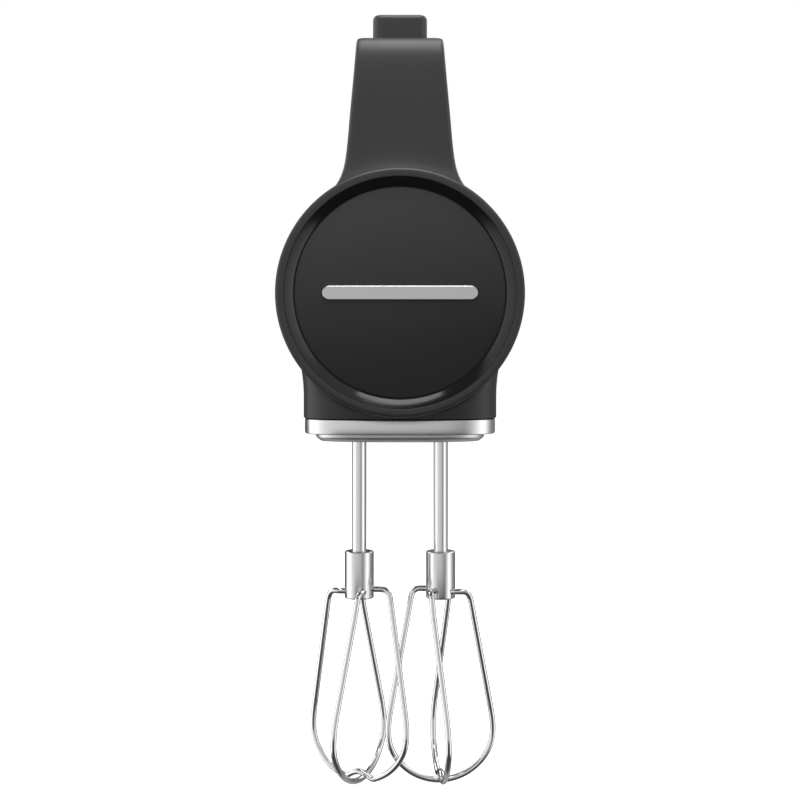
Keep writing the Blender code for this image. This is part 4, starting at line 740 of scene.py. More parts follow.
def housing_cage():
    """One open surface: the barrel, the skirt below it and the handle that loops over it."""
    bm = bmesh.new()
    rings = [[bm.verts.new(point) for point in barrel_ring(y)] for y in STATIONS]
    patches = ((FRONT_LEG, TOP_COLUMNS), (REAR_LEG, TOP_COLUMNS), (SKIRT_ROWS, BOTTOM_COLUMNS))
    for row in range(len(STATIONS) - 1):
        for k in range(16):
            if not any(in_patch(row, k, rows, columns) for rows, columns in patches):
                after = (k + 1) % 16
                bm.faces.new((rings[row][k], rings[row][after], rings[row + 1][after], rings[row + 1][k]))
    grip = [[bm.verts.new(point) for point in ring] for ring in handle_rings()]
    front_edge = patch_edge(rings, FRONT_LEG, TOP_COLUMNS)
    rear_edge = patch_edge(rings, reversed(REAR_LEG), TOP_COLUMNS)
    bridged(bm, [front_edge, *grip, rear_edge])
    skirt_edge = patch_edge(rings, SKIRT_ROWS, BOTTOM_COLUMNS)
    skirt = []
    for share in (0.5, 0.22, 0):
        skirt.append([bm.verts.new((x, y, SKIRT_RIM_Z + (edge.co.z - SKIRT_RIM_Z) * share))
                      for (x, y), edge in zip(skirt_plan(), skirt_edge)])
    bridged(bm, [skirt_edge, *skirt])
    return mesh_of(bm)


def vent_slots():
    """Upright slots through both sides of the barrel, with round ends."""
    slots = []
    for i in range(VENT_COUNT):
        y = VENT_FIRST_Y + VENT_PITCH * i
        slots.append(prism(VENT_HALF_WIDTH, VENT_HALF_HEIGHT, VENT_CORNER, (y, REAR_AXIS_Z),
                           -VENT_REACH, VENT_REACH, "X"))
    return joined(*slots)


def build_housing():
    """The one-piece shell, opened for the panel, the button and the vents."""
    shell = applied(housing_cage(), ("SUBSURF", {"levels": 3, "render_levels": 3}),
                    ("SOLIDIFY", {"thickness": SHELL_WALL, "offset": -1}))
    panel_y, panel_half = (PANEL_FRONT + PANEL_REAR) / 2, (PANEL_REAR - PANEL_FRONT) / 2
    button_low, button_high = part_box("eject_button")
    button_y = (button_low.y + button_high.y) / 2
    above = HANDLE_TOP + CUTTER_OVER
    panel_opening = prism(PANEL_HALF_WIDTH, panel_half, OPENING_CORNER, (0, panel_y),
                          HANDLE_TOP - PANEL_DEPTH, above)
    button_opening = prism(BUTTON_HALF_X + FIT, BUTTON_HALF_Y + FIT, OPENING_CORNER, (0, button_y),
                           HANDLE_TOP - BUTTON_DEPTH, above)
    shell = cut(shell, panel_opening, button_opening, vent_slots())
    piece("housing_shell", shell, "housing", "charcoal_plastic", ["body_shell"], smooth=38)
    build_panel(panel_y, panel_half)
    build_vent_screens()


def build_panel(panel_y, panel_half):
    """The handle's top cover, with a crowned edge, a slot for the slider and ribs across its rear."""
    slot_y = SLIDER_REST_Y + SLIDER_TRAVEL / 2
    top, over = HANDLE_TOP, HANDLE_TOP + CUTTER_OVER

    def outline(amount):
        return rounded_rectangle(PANEL_HALF_WIDTH - FIT - amount, panel_half - FIT - amount,
                                 OPENING_CORNER - FIT - amount)

    steps = [(0, top - SHELL_WALL), (0, top - 0.6 * MM), (0.15 * MM, top - 0.22 * MM), (0.5 * MM, top)]
    cover = loft(stacked(outline, steps, "Z", (0, panel_y)))
    slot = prism(STEM_HALF_X + FIT, STEM_HALF_Y + SLIDER_TRAVEL / 2 + FIT, 2 * MM, (0, slot_y),
                 top - CUTTER_OVER, over)
    recess = prism(9.2 * MM, 19 * MM, 2.4 * MM, (0, slot_y), top - 0.35 * MM, over)
    piece("handle_panel", cut(cover, slot, recess), "housing", "black_plastic", ["handle_cover"])

    ribs = Repeater("grip_ribs", pitch=2.9 * MM, length=20 * MM, width=1.3 * MM, height=0.45 * MM)
    bar = ribs.rounded_bar(ribs.size("length"), ribs.size("width"), ribs.size("height"), 0.6 * MM)
    start = ribs.vector(0.0, 42.2 * MM, top - 0.2 * MM)
    points = ribs.line(6, start, ribs.vector(0.0, ribs.size("pitch"), 0.0))
    mesh = ribs.made(ribs.copies(points, bar), RUBBER)
    piece("grip_ribs", mesh, "housing", "black_plastic", finish=RUBBER)

    marks = Repeater("speed_marks", pitch=4.2 * MM)
    tick = marks.rounded_bar(2.2 * MM, 0.5 * MM, 0.12 * MM, 0.2 * MM)
    start = marks.vector(-6.6 * MM, SLIDER_REST_Y, top - 0.4 * MM)
    points = marks.line(6, start, marks.vector(0.0, marks.size("pitch"), 0.0))
    index = marks.node("GeometryNodeInputIndex")
    stretch = marks.node("ShaderNodeMath", {0: index, 1: 0.14}, {"operation": "MULTIPLY"})
    widen = marks.node("ShaderNodeMath", {0: stretch, 1: 0.5}, {"operation": "ADD"})
    scaled = marks.copies(points, tick, Scale=marks.vector(widen, 1.0, 1.0))
    piece("speed_marks", marks.made(scaled, FINISHES["badge_silver"]), "housing", "badge_silver")


def build_vent_screens():
    """A woven dust screen behind the slots on each side, leaning with the barrel's wall."""
    for side, sign in (("left", -1), ("right", 1)):
        screen = Repeater(f"{side}_vent_screen", pitch=SCREEN_PITCH, thread=THREAD_RADIUS)
        thread = {"Vertices": 6, "Radius": screen.size("thread")}
        upright = screen.node("GeometryNodeMeshCylinder", {**thread, "Depth": 24 * MM})
        level = screen.node("GeometryNodeMeshCylinder", {**thread, "Depth": 23.1 * MM})
        lean = math.atan2(5.2, 21)
        x = sign * 30.2 * MM
        columns = screen.line(SCREEN_THREADS, screen.vector(x, 38 * MM, REAR_AXIS_Z),
                              screen.vector(-sign * 0.26 * MM, screen.size("pitch"), 0.0))
        low_row = screen.vector(x - sign * 2.6 * MM, 49 * MM, REAR_AXIS_Z - 11.5 * MM)
        rows = screen.line(SCREEN_THREADS, low_row, screen.vector(0.0, 0.0, screen.size("pitch")))
        turn = screen.vector(math.pi / 2, 0.0, sign * lean)
        both = screen.together(screen.copies(columns, upright), screen.copies(rows, level, Rotation=turn))
        mesh = screen.made(both, FINISHES["dark_steel"])
        piece(f"{side}_vent_screen", mesh, "housing", "dark_steel")


# ---- Nose --------------------------------------------------------------------------------------
NOSE_RADIUS, NOSE_FRONT, NOSE_RIM, CONE_DEPTH = 48 * MM, -62 * MM, 3.3 * MM, 2.3 * MM
DISC_RADIUS, DISC_GAP, DISC_THICKNESS = 40.7 * MM, 0.3 * MM, 2.4 * MM


def build_nose():
    """A flange with a soft outer edge, a glossy cone set in it, and a recessed satin disc with a bar."""
    front, radius = NOSE_FRONT, NOSE_RADIUS
    spigot = BARREL_RADIUS - SHELL_WALL - 1.2 * MM
    seat, back = front + CONE_DEPTH, BARREL_FRONT - FIT
    ledge = DISC_RADIUS - 3 * MM
    cone_edge = radius - NOSE_RIM
    profile = [
        (spigot, back + 6 * MM), (spigot, back), (radius, back), (radius, front),
        (cone_edge, front), (cone_edge, front + 0.5 * MM), (cone_edge - 1.2 * MM, front + 1.7 * MM),
        (cone_edge - 1.2 * MM, back + 2 * MM), (spigot - 2 * MM, back + 6 * MM)]
    radii = [0, 0, 1 * MM, 1.5 * MM, 0.5 * MM, 0, 0, 0, 0]
    flange = turned(filleted(profile, radii, 5, True), BARREL_AXIS, True, 192)
    piece("nose_flange", flange, "housing", "charcoal_plastic", ["nose_ring"])
    cone = [(cone_edge - 0.08 * MM, front + 0.25 * MM), (DISC_RADIUS + DISC_GAP, seat),
            (DISC_RADIUS + DISC_GAP, seat + DISC_THICKNESS), (ledge, seat + DISC_THICKNESS),
            (ledge, seat + DISC_THICKNESS + 2 * MM), (cone_edge - 1.4 * MM, seat + DISC_THICKNESS + 2 * MM),
            (cone_edge - 1.4 * MM, front + 2 * MM), (cone_edge - 0.3 * MM, front + 0.7 * MM)]
    radii = [0.15 * MM, 0.3 * MM, 0, 0, 0, 0, 0, 0.1 * MM]
    piece("nose_cone", turned(filleted(cone, radii, 4, True), BARREL_AXIS, True, 192), "housing",
          "gloss_black_plastic")

    disc_front, disc_back = seat + 0.2 * MM, seat + DISC_THICKNESS - FIT
    profile = [(0, disc_back + 3 * MM), (ledge - FIT, disc_back + 3 * MM), (ledge - FIT, disc_back),
               (DISC_RADIUS, disc_back), (DISC_RADIUS, disc_front), (DISC_RADIUS * 0.5, disc_front),
               (0, disc_front)]
    disc = turned(filleted(profile, [0, 0, 0, 0.2 * MM, 0.6 * MM, 0, 0], 5), BARREL_AXIS, True, 192)
    piece("nose_disc_face", disc, "housing", "charcoal_plastic", ["nose_disc"], DISC_PAINTED_LIGHT_SATIN)

    def pill(amount):
        return rounded_rectangle(30 * MM - amount, 2.8 * MM - amount, 2.79 * MM - amount, 12)

    back = disc_front - 0.05 * MM
    steps = [(0, back), (0, back - 0.65 * MM), (0.12 * MM, back - 0.9 * MM), (0.35 * MM, back - 1.05 * MM)]
    piece("badge_plate", loft(stacked(pill, steps, "Y", (0, BARREL_AXIS.z))), "housing", "badge_silver",
          ["badge_bar"])


# ---- Base --------------------------------------------------------------------------------------
BAND_LOW, BAND_INSET = 3.2 * MM, 0.5 * MM
SOCKET_RADIUS, SCREW_POCKET_RADIUS, SCREW_POCKET_DEPTH = 6 * MM, 3.6 * MM, 2 * MM
FRONT_SCREW_X, FRONT_SCREW_Y, REAR_SCREW_X, REAR_SCREW_Y = 24 * MM, -22.5 * MM, 22 * MM, 35 * MM


def build_base():
    """The bright band round the skirt's rim, and the satin plate in it with two beater sockets."""
    outline = [(x, y) for x, y, _ in spline_loop([(x, y, 0) for x, y in skirt_plan()], 10)]
    low, top = BAND_LOW, SKIRT_RIM_Z - FIT

    def edge(amount):
        return inset(outline, BAND_INSET + amount)

    band = [(2.2 * MM, low), (0.9 * MM, low), (0.35 * MM, low + 0.12 * MM), (0.08 * MM, low + 0.4 * MM),
            (0, low + 0.9 * MM), (0, top - 0.7 * MM), (0.08 * MM, top - 0.3 * MM),
            (0.35 * MM, top - 0.06 * MM), (0.7 * MM, top), (2.2 * MM, top)]
    ring = loft(stacked(edge, band), closed_along=True)
    piece("bright_band", ring, "housing", "brushed_trim", ["trim_band"])

    lip = [(7 * MM, 0), (6.2 * MM, 0.1 * MM), (4.8 * MM, 1.2 * MM), (4.45 * MM, 1.7 * MM),
           (4.4 * MM, 2.1 * MM),
           (4.4 * MM, low + FIT), (2.5 * MM, low + FIT), (2.5 * MM, 6.2 * MM)]
    plate = loft(stacked(lambda amount: shrunk(outline, BAND_INSET + amount), lip))
    cutters = []
    socket = filleted([(0, 8 * MM), (SOCKET_RADIUS, 8 * MM), (SOCKET_RADIUS, 0.6 * MM),
                       (SOCKET_RADIUS + 1 * MM, -0.4 * MM), (0, -1 * MM)], [0, 0, 0.4 * MM, 0, 0], 4)
    for x in (-SPINDLE_X, SPINDLE_X):
        cutters.append(turned(socket, (x, 0, 0), steps=64))
    pocket = [(0, SCREW_POCKET_DEPTH), (SCREW_POCKET_RADIUS, SCREW_POCKET_DEPTH),
              (SCREW_POCKET_RADIUS, 0.1 * MM), (SCREW_POCKET_RADIUS + 0.3 * MM, -0.2 * MM), (0, -1 * MM)]
    for reach, y in ((FRONT_SCREW_X, FRONT_SCREW_Y), (REAR_SCREW_X, REAR_SCREW_Y)):
        for x in (-reach, reach):
            cutters.append(turned(pocket, (x, y, 0), steps=32))
    piece("base_lip", cut(plate, *cutters), "housing", "brushed_trim", ["base_plate"], LIP_SATIN)
    build_screws()


def build_screws():
    """Cross-recessed pan heads, one made and set at each place."""
    head = turned(filleted([(0, 8.8 * MM), (1.3 * MM, 8.8 * MM), (1.9 * MM, 8 * MM), (1.9 * MM, 1.9 * MM),
                            (3.2 * MM, 1.9 * MM), (3.2 * MM, 0.5 * MM), (0, 0.3 * MM)],
                           [0, 0, 0, 0, 0.2 * MM, 0.7 * MM, 0], 4), steps=40)
    reach, half, deep = 1.7 * MM, 0.35 * MM, 1.3 * MM
    cross = [block((-x, -y, -1 * MM), (x, y, deep)) for x, y in ((reach, half), (half, reach))]
    head = cut(head, *cross)
    source = bpy.data.objects.new("screw_source", head)
    bpy.context.scene.collection.objects.link(source)
    field = Repeater("base_screws", front_x=FRONT_SCREW_X, rear_x=REAR_SCREW_X)
    shape = field.node("GeometryNodeObjectInfo", {"Object": source}, output=4)
    times = {"operation": "MULTIPLY"}
    pairs = []
    for size, y in (("front_x", FRONT_SCREW_Y), ("rear_x", REAR_SCREW_Y)):
        left = field.node("ShaderNodeMath", {0: field.size(size), 1: -1.0}, times)
        across = field.node("ShaderNodeMath", {0: field.size(size), 1: 2.0}, times)
        pairs.append(field.line(2, field.vector(left, y, 0.0), field.vector(across, 0.0, 0.0)))
    index = field.node("GeometryNodeInputIndex")
    turn = field.node("ShaderNodeMath", {0: index, 1: 0.9}, times)
    spread = field.copies(field.together(*pairs), shape, Rotation=field.vector(0.0, 0.0, turn))
    mesh = field.made(spread, FINISHES["steel"])
    bpy.data.objects.remove(source)
    piece("base_screw_set", mesh, "housing", "steel", [f"base_screw_{n}" for n in range(1, 5)])


# ---- Button, slider ----------------------------------------------------------------------------
def build_button():
    """The eject button's cap, with a broad soft crown and a flange that keeps it in the handle."""
    low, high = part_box("eject_button")
    centre_y = (low.y + high.y) / 2
    top, shoulder = high.z, high.z - 2.4 * MM
    flange, flange_reach = HANDLE_TOP - SHELL_WALL - 1.6 * MM, 1.3 * MM

    def outline(amount):
        return rounded_rectangle(BUTTON_HALF_X - amount, BUTTON_HALF_Y - amount,
                                 OPENING_CORNER - FIT - min(amount, 2 * MM) * 0.9)

    steps = [(-flange_reach, low.z), (-flange_reach, flange), (0, flange), (0, shoulder)]
    steps += quarter_round(1.9 * MM, shoulder, 2.05 * MM)
    steps += [(4 * MM, top - 0.16 * MM), (6.5 * MM, top - 0.03 * MM), (8.5 * MM, top)]
    mesh = loft(stacked(outline, steps, "Z", (0, centre_y)))
    piece("eject_cap", mesh, "ejector", "charcoal_plastic", ["eject_button"], smooth=30)


def build_slider():
    """A thumb slider with ridges across its top, and its stem and foot below the panel."""
    low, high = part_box("speed_slider")
    y = (low.y + high.y) / 2
    top, cap_low = high.z, HANDLE_TOP + FIT
    foot_top = HANDLE_TOP - SHELL_WALL - FIT

    def outline(half_x, half_y, corner):
        return lambda amount: rounded_rectangle(half_x - amount, half_y - amount, corner - amount * 0.6)

    cap = stacked(outline(7 * MM, 6.5 * MM, 3 * MM), [
        (0.3 * MM, cap_low), (0, cap_low + 0.3 * MM), (0.1 * MM, top - 1.5 * MM), (0.5 * MM, top - 0.7 * MM),
        (1.3 * MM, top - 0.45 * MM)], "Z", (0, y))
    stem = stacked(outline(STEM_HALF_X, STEM_HALF_Y, 1 * MM),
                   [(0, foot_top - 0.5 * MM), (0, cap_low + 0.6 * MM)], "Z", (0, y))
    foot = stacked(outline(7 * MM, 6 * MM, 1.5 * MM), [(0, low.z), (0, foot_top)], "Z", (0, y))
    thumb = joined(loft(cap), loft(stem), loft(foot))
    piece("speed_thumb", thumb, "slider", "grey_plastic", ["speed_slider"])
    ridges = Repeater("thumb_ridges", pitch=1.9 * MM)
    bar = ridges.rounded_bar(9.5 * MM, 0.9 * MM, 0.6 * MM, 0.42 * MM)
    points = ridges.line(4, ridges.vector(0.0, y - 2.85 * MM, top - 0.62 * MM),
                         ridges.vector(0.0, ridges.size("pitch"), 0.0))
    piece("thumb_ridges", ridges.made(ridges.copies(points, bar), FINISHES["grey_plastic"]), "slider",
          "grey_plastic")


# ---- Battery -----------------------------------------------------------------------------------
CASE_WALL, CASE_CORNER, HEEL_PROUD = 2.2 * MM, 7 * MM, 0.8 * MM
LATCH_HALF_Y, LATCH_HALF_Z, LATCH_CORNER, LATCH_FLANGE = 4.5 * MM, 6 * MM, 1.5 * MM, 0.7 * MM
LAMP_RISE, LAMP_PITCH, LAMP_WINDOW_DEPTH = 22 * MM, 3.4 * MM, 0.5 * MM
HEEL_RISE, RIB_RISE, OVER = 31 * MM, 28 * MM, 2 * MM


def build_battery():
    """The pack's case with its latches, heel strips, charge lamps and side ribs."""
    low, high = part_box("battery_case")
    half_x, half_z = high.x, (high.z - low.z) / 2
    case_front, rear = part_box("battery_lid")[1].y + FIT, high.y
    wall, face = CASE_WALL, high.y - HEEL_PROUD

    def outline(amount):
        return rounded_rectangle(half_x - amount, half_z - amount, max(CASE_CORNER - amount, 1 * MM), 10)

    rounding = 5 * MM
    steps = [(wall, face - wall), (wall, case_front), (0.3 * MM, case_front), (0, case_front + 0.3 * MM),
             (0, face - rounding)]
    steps += quarter_round(4.2 * MM, face - rounding, rounding)
    case = loft(stacked(outline, steps, "Y", (0, REAR_AXIS_Z)))
    latch_low, latch_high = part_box("right_latch_button")
    latch_y = (latch_low.y + latch_high.y) / 2
    cutters = []
    button_hole = (LATCH_HALF_Y + FIT, LATCH_HALF_Z + FIT, LATCH_CORNER + FIT, 4 * MM)
    finger_dish = (6.6 * MM, 8.4 * MM, 3 * MM, 0.7 * MM)
    for sign in (-1, 1):
        for half_y, half_up, corner, deep in (button_hole, finger_dish):
            ends = sorted((sign * (half_x - deep), sign * (half_x + OVER)))
            cutters.append(prism(half_y, half_up, corner, (latch_y, REAR_AXIS_Z), *ends, "X"))
    cutters.append(prism(7.4 * MM, 2.6 * MM, 2.5 * MM, (0, REAR_AXIS_Z + LAMP_RISE),
                         face - LAMP_WINDOW_DEPTH, face + OVER, "Y"))
    piece("battery_housing", cut(case, *cutters), "battery", "black_plastic", ["battery_case"], smooth=30)

    for side, sign in (("left", -1), ("right", 1)):
        build_latch(side, sign, latch_y, half_x)
    build_heels(face, rear)
    build_lamps(face)

    ribs = Repeater("battery_ribs", pitch=3.2 * MM, length=26 * MM)
    rod = {"Vertices": 12, "Radius": 0.55 * MM, "Depth": ribs.size("length")}
    bar = ribs.node("GeometryNodeMeshCylinder", rod)
    sides = []
    for sign in (-1, 1):
        for z in (RIB_RISE, -RIB_RISE):
            start = ribs.vector(sign * (half_x - 0.2 * MM), latch_y - 0.6 * MM, REAR_AXIS_Z + z)
            sides.append(ribs.line(5, start, ribs.vector(0.0, ribs.size("pitch"), 0.0)))
    mesh = ribs.made(ribs.copies(ribs.together(*sides), bar, Scale=ribs.vector(1.0, 1.0, 0.7)), RUBBER)
    piece("battery_ribs", mesh, "battery", "black_plastic", finish=RUBBER)


def build_latch(side, sign, latch_y, face):
    """One latch button, with an inner flange and ridges across its face."""
    low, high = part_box(f"{side}_latch_button")
    outer = max(abs(low.x), abs(high.x))

    def outline(amount):
        return rounded_rectangle(LATCH_HALF_Y - amount, LATCH_HALF_Z - amount,
                                 max(LATCH_CORNER - amount, 0.3 * MM), 6)

    inner = face - CASE_WALL - FIT
    steps = [(-LATCH_FLANGE, inner - 1.2 * MM), (-LATCH_FLANGE, inner), (0, inner), (0, outer - 1 * MM),
             (0.2 * MM, outer - 0.5 * MM), (0.7 * MM, outer - 0.25 * MM)]
    loops = stacked(outline, [(amount, sign * x) for amount, x in steps], "X", (latch_y, REAR_AXIS_Z))
    body = f"{side}_latch"
    piece(f"{side}_latch_cap", loft(loops), body, "grey_plastic", [f"{side}_latch_button"])
    ridges = Repeater(f"{side}_latch_ridges", pitch=2 * MM)
    bar = ridges.node("GeometryNodeMeshCylinder", {"Vertices": 12, "Radius": 0.5 * MM, "Depth": 6.4 * MM})
    points = ridges.line(5, ridges.vector(sign * (outer - 0.5 * MM), latch_y, REAR_AXIS_Z - 4 * MM),
                         ridges.vector(0.0, 0.0, ridges.size("pitch")))
    copies = ridges.copies(points, bar, Rotation=ridges.vector(math.pi / 2, 0.0, 0.0))
    piece(f"{side}_latch_ridges", ridges.made(copies, FINISHES["grey_plastic"]), body, "grey_plastic")


def build_heels(face, rear):
    """Two rubber strips that the mixer stands on when it is put down on its heel."""
    def outline(amount):
        return rounded_rectangle(13 * MM - amount, 2.4 * MM - amount, 2.35 * MM - amount, 8)

    steps = [(0, face - 0.6 * MM), (0, rear - 0.45 * MM), (0.15 * MM, rear - 0.15 * MM), (0.5 * MM, rear)]
    strips = [loft(stacked(outline, steps, "Y", (0, REAR_AXIS_Z + z))) for z in (-HEEL_RISE, HEEL_RISE)]
    piece("heel_strips", joined(*strips), "battery", "black_plastic", finish=RUBBER)


def build_lamps(face):
    """Four charge lamps in a shallow window."""
    lamps = Repeater("charge_lamps", pitch=LAMP_PITCH, radius=0.85 * MM)
    bead = {"Segments": 20, "Rings": 12, "Radius": lamps.size("radius")}
    ball = lamps.node("GeometryNodeMeshUVSphere", bead)
    points = lamps.line(4, lamps.vector(-1.5 * LAMP_PITCH, face - 0.45 * MM, REAR_AXIS_Z + LAMP_RISE),
                        lamps.vector(lamps.size("pitch"), 0.0, 0.0))
    copies = lamps.copies(points, ball, Scale=lamps.vector(1.0, 0.45, 1.0))
    piece("charge_lamps", lamps.made(copies, LAMP_LENS), "battery", "grey_plastic", finish=LAMP_LENS)


# ---- Beaters -----------------------------------------------------------------------------------
SHAFT_RADIUS, HUB_RADIUS, WIRE_RADIUS = 3 * MM, 6.15 * MM, 1.25 * MM
HUB_TOP, HUB_LOW, HUB_BORE_DEPTH = -47.4 * MM, -67.3 * MM, 13 * MM
SHAFT_TOP, SHAFT_IN_HUB = 38 * MM, 12.7 * MM
WIRE_HOLE_Z, WIRE_BEND_Z, WIRE_BEND_RADIUS = -64 * MM, -70 * MM, 13.4 * MM
BEATER_RADIUS, BEATER_WIDEST_Z, BEATER_BOTTOM_Z = 22.7 * MM, -121.4 * MM, -143.6 * MM
CROSSING_LIFT, CROSSING_REACH = 3.4 * MM, 6.5 * MM
WIRE_BEND = 4.2 * MM
OVAL_LEAD_IN, OVAL_START = 10 * MM, math.radians(26)
TWIST_TO_BEND, TWIST_TO_WIDEST = math.radians(22), math.radians(45.5)


def polar(radius, angle, z):
    return Vector((radius * math.cos(angle), radius * math.sin(angle), z))


def rounded_path(corners, radius, steps=4):
    """Straight runs between corners, with each inner corner turned on a quadratic curve."""
    path = [corners[0]]
    for before, corner, after in zip(corners, corners[1:], corners[2:]):
        reach_in = min(radius, (corner - before).length * 0.48)
        reach_out = min(radius, (after - corner).length * 0.48)
        start = corner + (before - corner).normalized() * reach_in
        end = corner + (after - corner).normalized() * reach_out
        path += eased(start, corner, end, steps)
    return path + [corners[-1]]


def flowing(start, out, end, into, steps=8):
    """Points from a start, left along one direction, to just before an end, met along another."""
    span = (end - start).length
    made = []
    for i in range(steps):
        t = i / steps
        made.append(start * (2 * t ** 3 - 3 * t ** 2 + 1) + out * span * (t ** 3 - 2 * t ** 2 + t)
                    + end * (3 * t ** 2 - 2 * t ** 3) + into * span * (t ** 3 - t ** 2))
    return made


def wire_half(hole_angle, turn, lift):
    """One wire from its hole in the hub, down and round the axis, to the crossing at the bottom."""
    bend_angle = hole_angle + turn * TWIST_TO_BEND
    widest_angle = hole_angle + turn * TWIST_TO_WIDEST
    widest = polar(BEATER_RADIUS, widest_angle, BEATER_WIDEST_Z)
    bend = polar(WIRE_BEND_RADIUS, bend_angle, WIRE_BEND_Z)
    swerve = polar(WIRE_BEND_RADIUS * 0.93, bend_angle - turn * math.radians(3), WIRE_HOLE_Z)
    drop = BEATER_BOTTOM_Z - BEATER_WIDEST_Z

    def oval(angle):
        return polar(BEATER_RADIUS * math.cos(angle), widest_angle, BEATER_WIDEST_Z + drop * math.sin(angle))

    straight = (widest - bend).normalized()
    leave = widest - straight * OVAL_LEAD_IN
    join = oval(OVAL_START)
    falling = (oval(OVAL_START + 0.01) - join).normalized()
    path = rounded_path([
        polar(HUB_RADIUS - 3 * MM, hole_angle, WIRE_HOLE_Z),
        polar(HUB_RADIUS + 1.6 * MM, hole_angle, WIRE_HOLE_Z), swerve,
        bend + (widest - bend) * 0.04, leave], WIRE_BEND, 6)[:-1]
    path += flowing(leave, straight, join, falling)
    steps = 18
    for i in range(steps):
        place = oval(OVAL_START + (math.pi / 2 - OVAL_START) * i / steps)
        share = min(1.0, place.xy.length / CROSSING_REACH)
        place.z += (1 - share * share) ** 1.3 * lift
        path.append(place)
    return path


def build_beater(side, x, hole_angle, turn):
    """Turn is the way the wires swing round the axis on their way down."""
    centre = Vector((x, 0, 0))
    body = f"{side}_beater"
    shaft = turned(filleted([
        (0, SHAFT_TOP), (SHAFT_RADIUS - 1 * MM, SHAFT_TOP), (SHAFT_RADIUS, SHAFT_TOP - 1 * MM),
        (SHAFT_RADIUS, HUB_TOP - SHAFT_IN_HUB), (0, HUB_TOP - SHAFT_IN_HUB)],
        [0, 0.5 * MM, 0.5 * MM, 0, 0], 3), centre, steps=56)
    lugs = block(centre + Vector((-4.2, -0.8, 12)) * MM, centre + Vector((4.2, 0.8, 17)) * MM, 0.3 * MM)
    piece(f"{side}_shaft", joined(shaft, lugs), body, "stainless", [f"{side}_beater_shaft"])
    hub = turned(filleted([
        (0, HUB_TOP - HUB_BORE_DEPTH), (SHAFT_RADIUS + 0.15 * MM, HUB_TOP - HUB_BORE_DEPTH),
        (SHAFT_RADIUS + 0.15 * MM, HUB_TOP), (HUB_RADIUS, HUB_TOP), (HUB_RADIUS, HUB_LOW), (0, HUB_LOW)],
        [0, 0, 0.3 * MM, 0.9 * MM, 0.8 * MM, 0], 6), centre, steps=72)
    bores = []
    for angle in (hole_angle, hole_angle + math.pi / 2):
        ends = [centre + polar(reach * 2 * HUB_RADIUS, angle, WIRE_HOLE_Z) for reach in (-1, 1)]
        bores.append(tube(ends, WIRE_RADIUS + 0.12 * MM, 32))
    piece(f"{side}_hub", cut(hub, *bores), body, "stainless", [f"{side}_beater_hub"], TURNED_HUB)
    for name, angle, lift in (("upper", hole_angle, CROSSING_LIFT), ("lower", hole_angle + math.pi / 2, 0.0)):
        first, second = wire_half(angle, turn, lift), wire_half(angle + math.pi, turn, lift)
        path = first + [Vector((0, 0, BEATER_BOTTOM_Z + lift))] + second[::-1]
        wire = tube([centre + point for point in smoothed(path)], WIRE_RADIUS)
        piece(f"{side}_{name}_loop", wire, body, "stainless", [f"{side}_{name}_wire"])


# ---- Studio ------------------------------------------------------------------------------------
# Brightness of the cards round the object, by turns from straight behind it, by way of its left,
# front (half a turn) and right.
STUDIO_CARDS = [(0.0, 0.05), (0.12, 0.1), (0.17, 0.4), (0.205, 1.5), (0.3, 1.5), (0.33, 1.1), (0.36, 0.85),
                (0.42, 0.74), (0.5, 0.64), (0.545, 0.5), (0.586, 0.28), (0.63, 0.7), (0.68, 1.5), (0.71, 1.4),
                (0.77, 0.5), (0.84, 0.2)]
REAR_BOX_X, REAR_BOX_SIZE, REAR_BOX_POWER = 0.62, 0.5, 1.6
FLOOR_REACH, FLOOR_GAP = 4, 0.4 * MM
CAMERA_BACK, CAMERA_HEIGHT, SENSOR_WIDTH = 0.7, 0.0473, 36
VIEW_WIDTH, VIEW_DROP = 0.336, 0.0315


def softbox(name, place, aim, width, height, power):
    """A rectangular lamp that shows in gloss but not to the camera."""
    lamp = bpy.data.lights.new(name, "AREA")
    lamp.shape = "RECTANGLE"
    lamp.size, lamp.size_y, lamp.energy = width, height, power
    obj = bpy.data.objects.new(name, lamp)
    bpy.context.scene.collection.objects.link(obj)
    obj.location = place
    obj.rotation_euler = (Vector(aim) - Vector(place)).to_track_quat("-Z", "Y").to_euler()
    obj.visible_camera = False


def build_world():
    """Light from cards all round, from above and from below, with plain white behind for the camera."""
    world = bpy.data.worlds.new("studio")
    bpy.context.scene.world = world
    world.use_nodes = True
    tree = world.node_tree
    tree.nodes.clear()
    coordinates = tree.nodes.new("ShaderNodeTexCoord")
    toward = Signal(tree, coordinates.outputs["Generated"])
    turn = toward.math("ARCTAN2", toward.part("X"), toward.part("Y") * -1) / math.tau + 0.5
    cards = turn.ramp(STUDIO_CARDS)
    ahead = (toward.part("Y") * -1).between(0.5, 0.9)
    below = (toward.part("Z") - ahead * 0.32).between(-0.45, -0.6)
    ground = toward.part("Y").between(-0.1, 0.3) * 0.32 + 0.06
    above = toward.part("Z").between(0.5, 0.62)
    ceiling = toward.part("X").between(-0.15, 0.15) * 0.45 + 0.12
    room = (cards * (1 - below) + ground * below) * (1 - above) + above * ceiling
    path = tree.nodes.new("ShaderNodeLightPath")
    seen = Signal(tree, path.outputs["Is Camera Ray"])
    lit = toward.node("ShaderNodeBackground", {"Color": (1, 1, 1, 1), "Strength": room})
    backdrop = toward.node("ShaderNodeBackground", {"Color": (1, 1, 1, 1), "Strength": 1.0})
    mix = toward.node("ShaderNodeMixShader", {0: seen, 1: lit, 2: backdrop})
    output = tree.nodes.new("ShaderNodeOutputWorld")
    tree.links.new(mix.socket, output.inputs["Surface"])


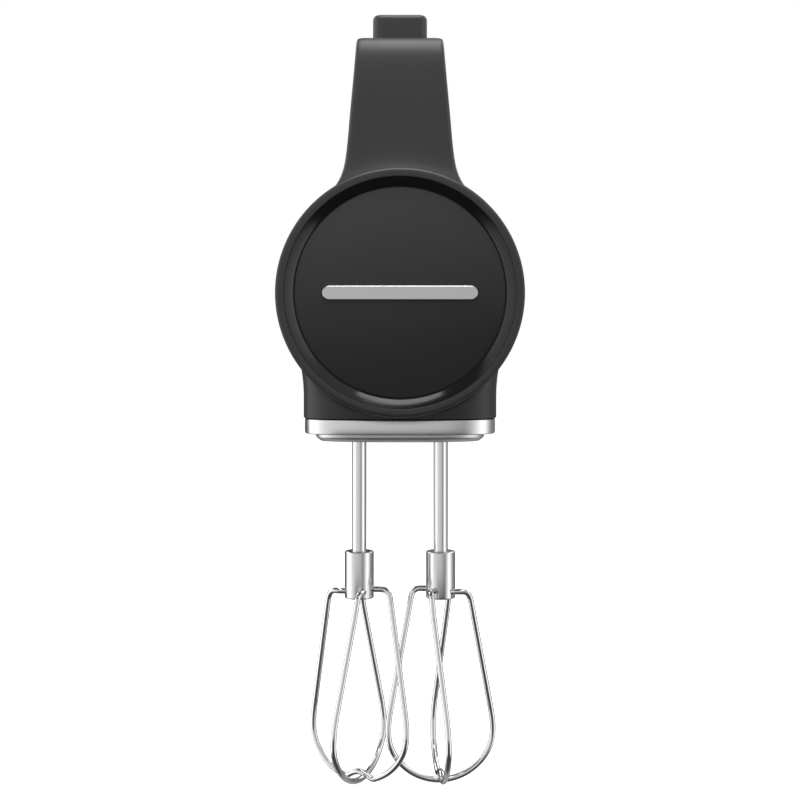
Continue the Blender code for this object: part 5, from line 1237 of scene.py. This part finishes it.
def build_floor():
    """A pale floor just under the beaters, which lights nothing by itself."""
    floor_mesh = bpy.data.meshes.new("floor")
    low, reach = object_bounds()[0].z - FLOOR_GAP, FLOOR_REACH
    corners = [(-reach, -reach, low), (reach, -reach, low), (reach, reach, low), (-reach, reach, low)]
    floor_mesh.from_pydata(corners, [], [(0, 1, 2, 3)])
    floor = bpy.data.objects.new("floor", floor_mesh)
    bpy.context.scene.collection.objects.link(floor)
    card = Finish("pale_floor")
    mottle = card.place.noise(3, 3)
    card.shader.inputs["Emission Strength"].default_value = 0.75
    card.feed(Base_Color=mottle.tint((0.86, 0.86, 0.86), (0.9, 0.9, 0.9)),
              Emission_Color=mottle.tint((0.97, 0.97, 0.97), (1, 1, 1)), Roughness=0.8 + mottle * 0.1)
    floor_mesh.materials.append(card.material)
    floor.visible_glossy = False
    floor.visible_diffuse = False


def build_camera():
    """A level camera straight ahead of the nose. VIEW_WIDTH is what it takes in at the object."""
    data = bpy.data.cameras.new("camera")
    camera = bpy.data.objects.new("camera", data)
    bpy.context.scene.collection.objects.link(camera)
    bpy.context.scene.camera = camera
    camera.location = (0, -CAMERA_BACK, CAMERA_HEIGHT)
    camera.rotation_euler = (math.pi / 2, 0, 0)
    data.sensor_width = SENSOR_WIDTH
    data.lens = SENSOR_WIDTH * CAMERA_BACK / VIEW_WIDTH
    data.shift_y = -VIEW_DROP / VIEW_WIDTH
    data.clip_start = 0.05


def build_studio():
    bpy.context.scene.view_settings.view_transform = "Standard"
    build_world()
    softbox("top_box", (0, -0.165, 0.75), (0, -0.165, 0), 0.56, 0.77, 5.2)
    for name, x in (("rear_left_box", -REAR_BOX_X), ("rear_right_box", REAR_BOX_X)):
        softbox(name, (x, 0.6, 0.55), (0, 0.05, 0.05), REAR_BOX_SIZE, REAR_BOX_SIZE, REAR_BOX_POWER)
    build_floor()
    build_camera()


build_housing()
build_nose()
build_base()
build_button()
build_slider()
build_battery()
build_beater("left", -SPINDLE_X, math.radians(18), -1)
build_beater("right", SPINDLE_X, math.radians(52), 1)
build_studio()
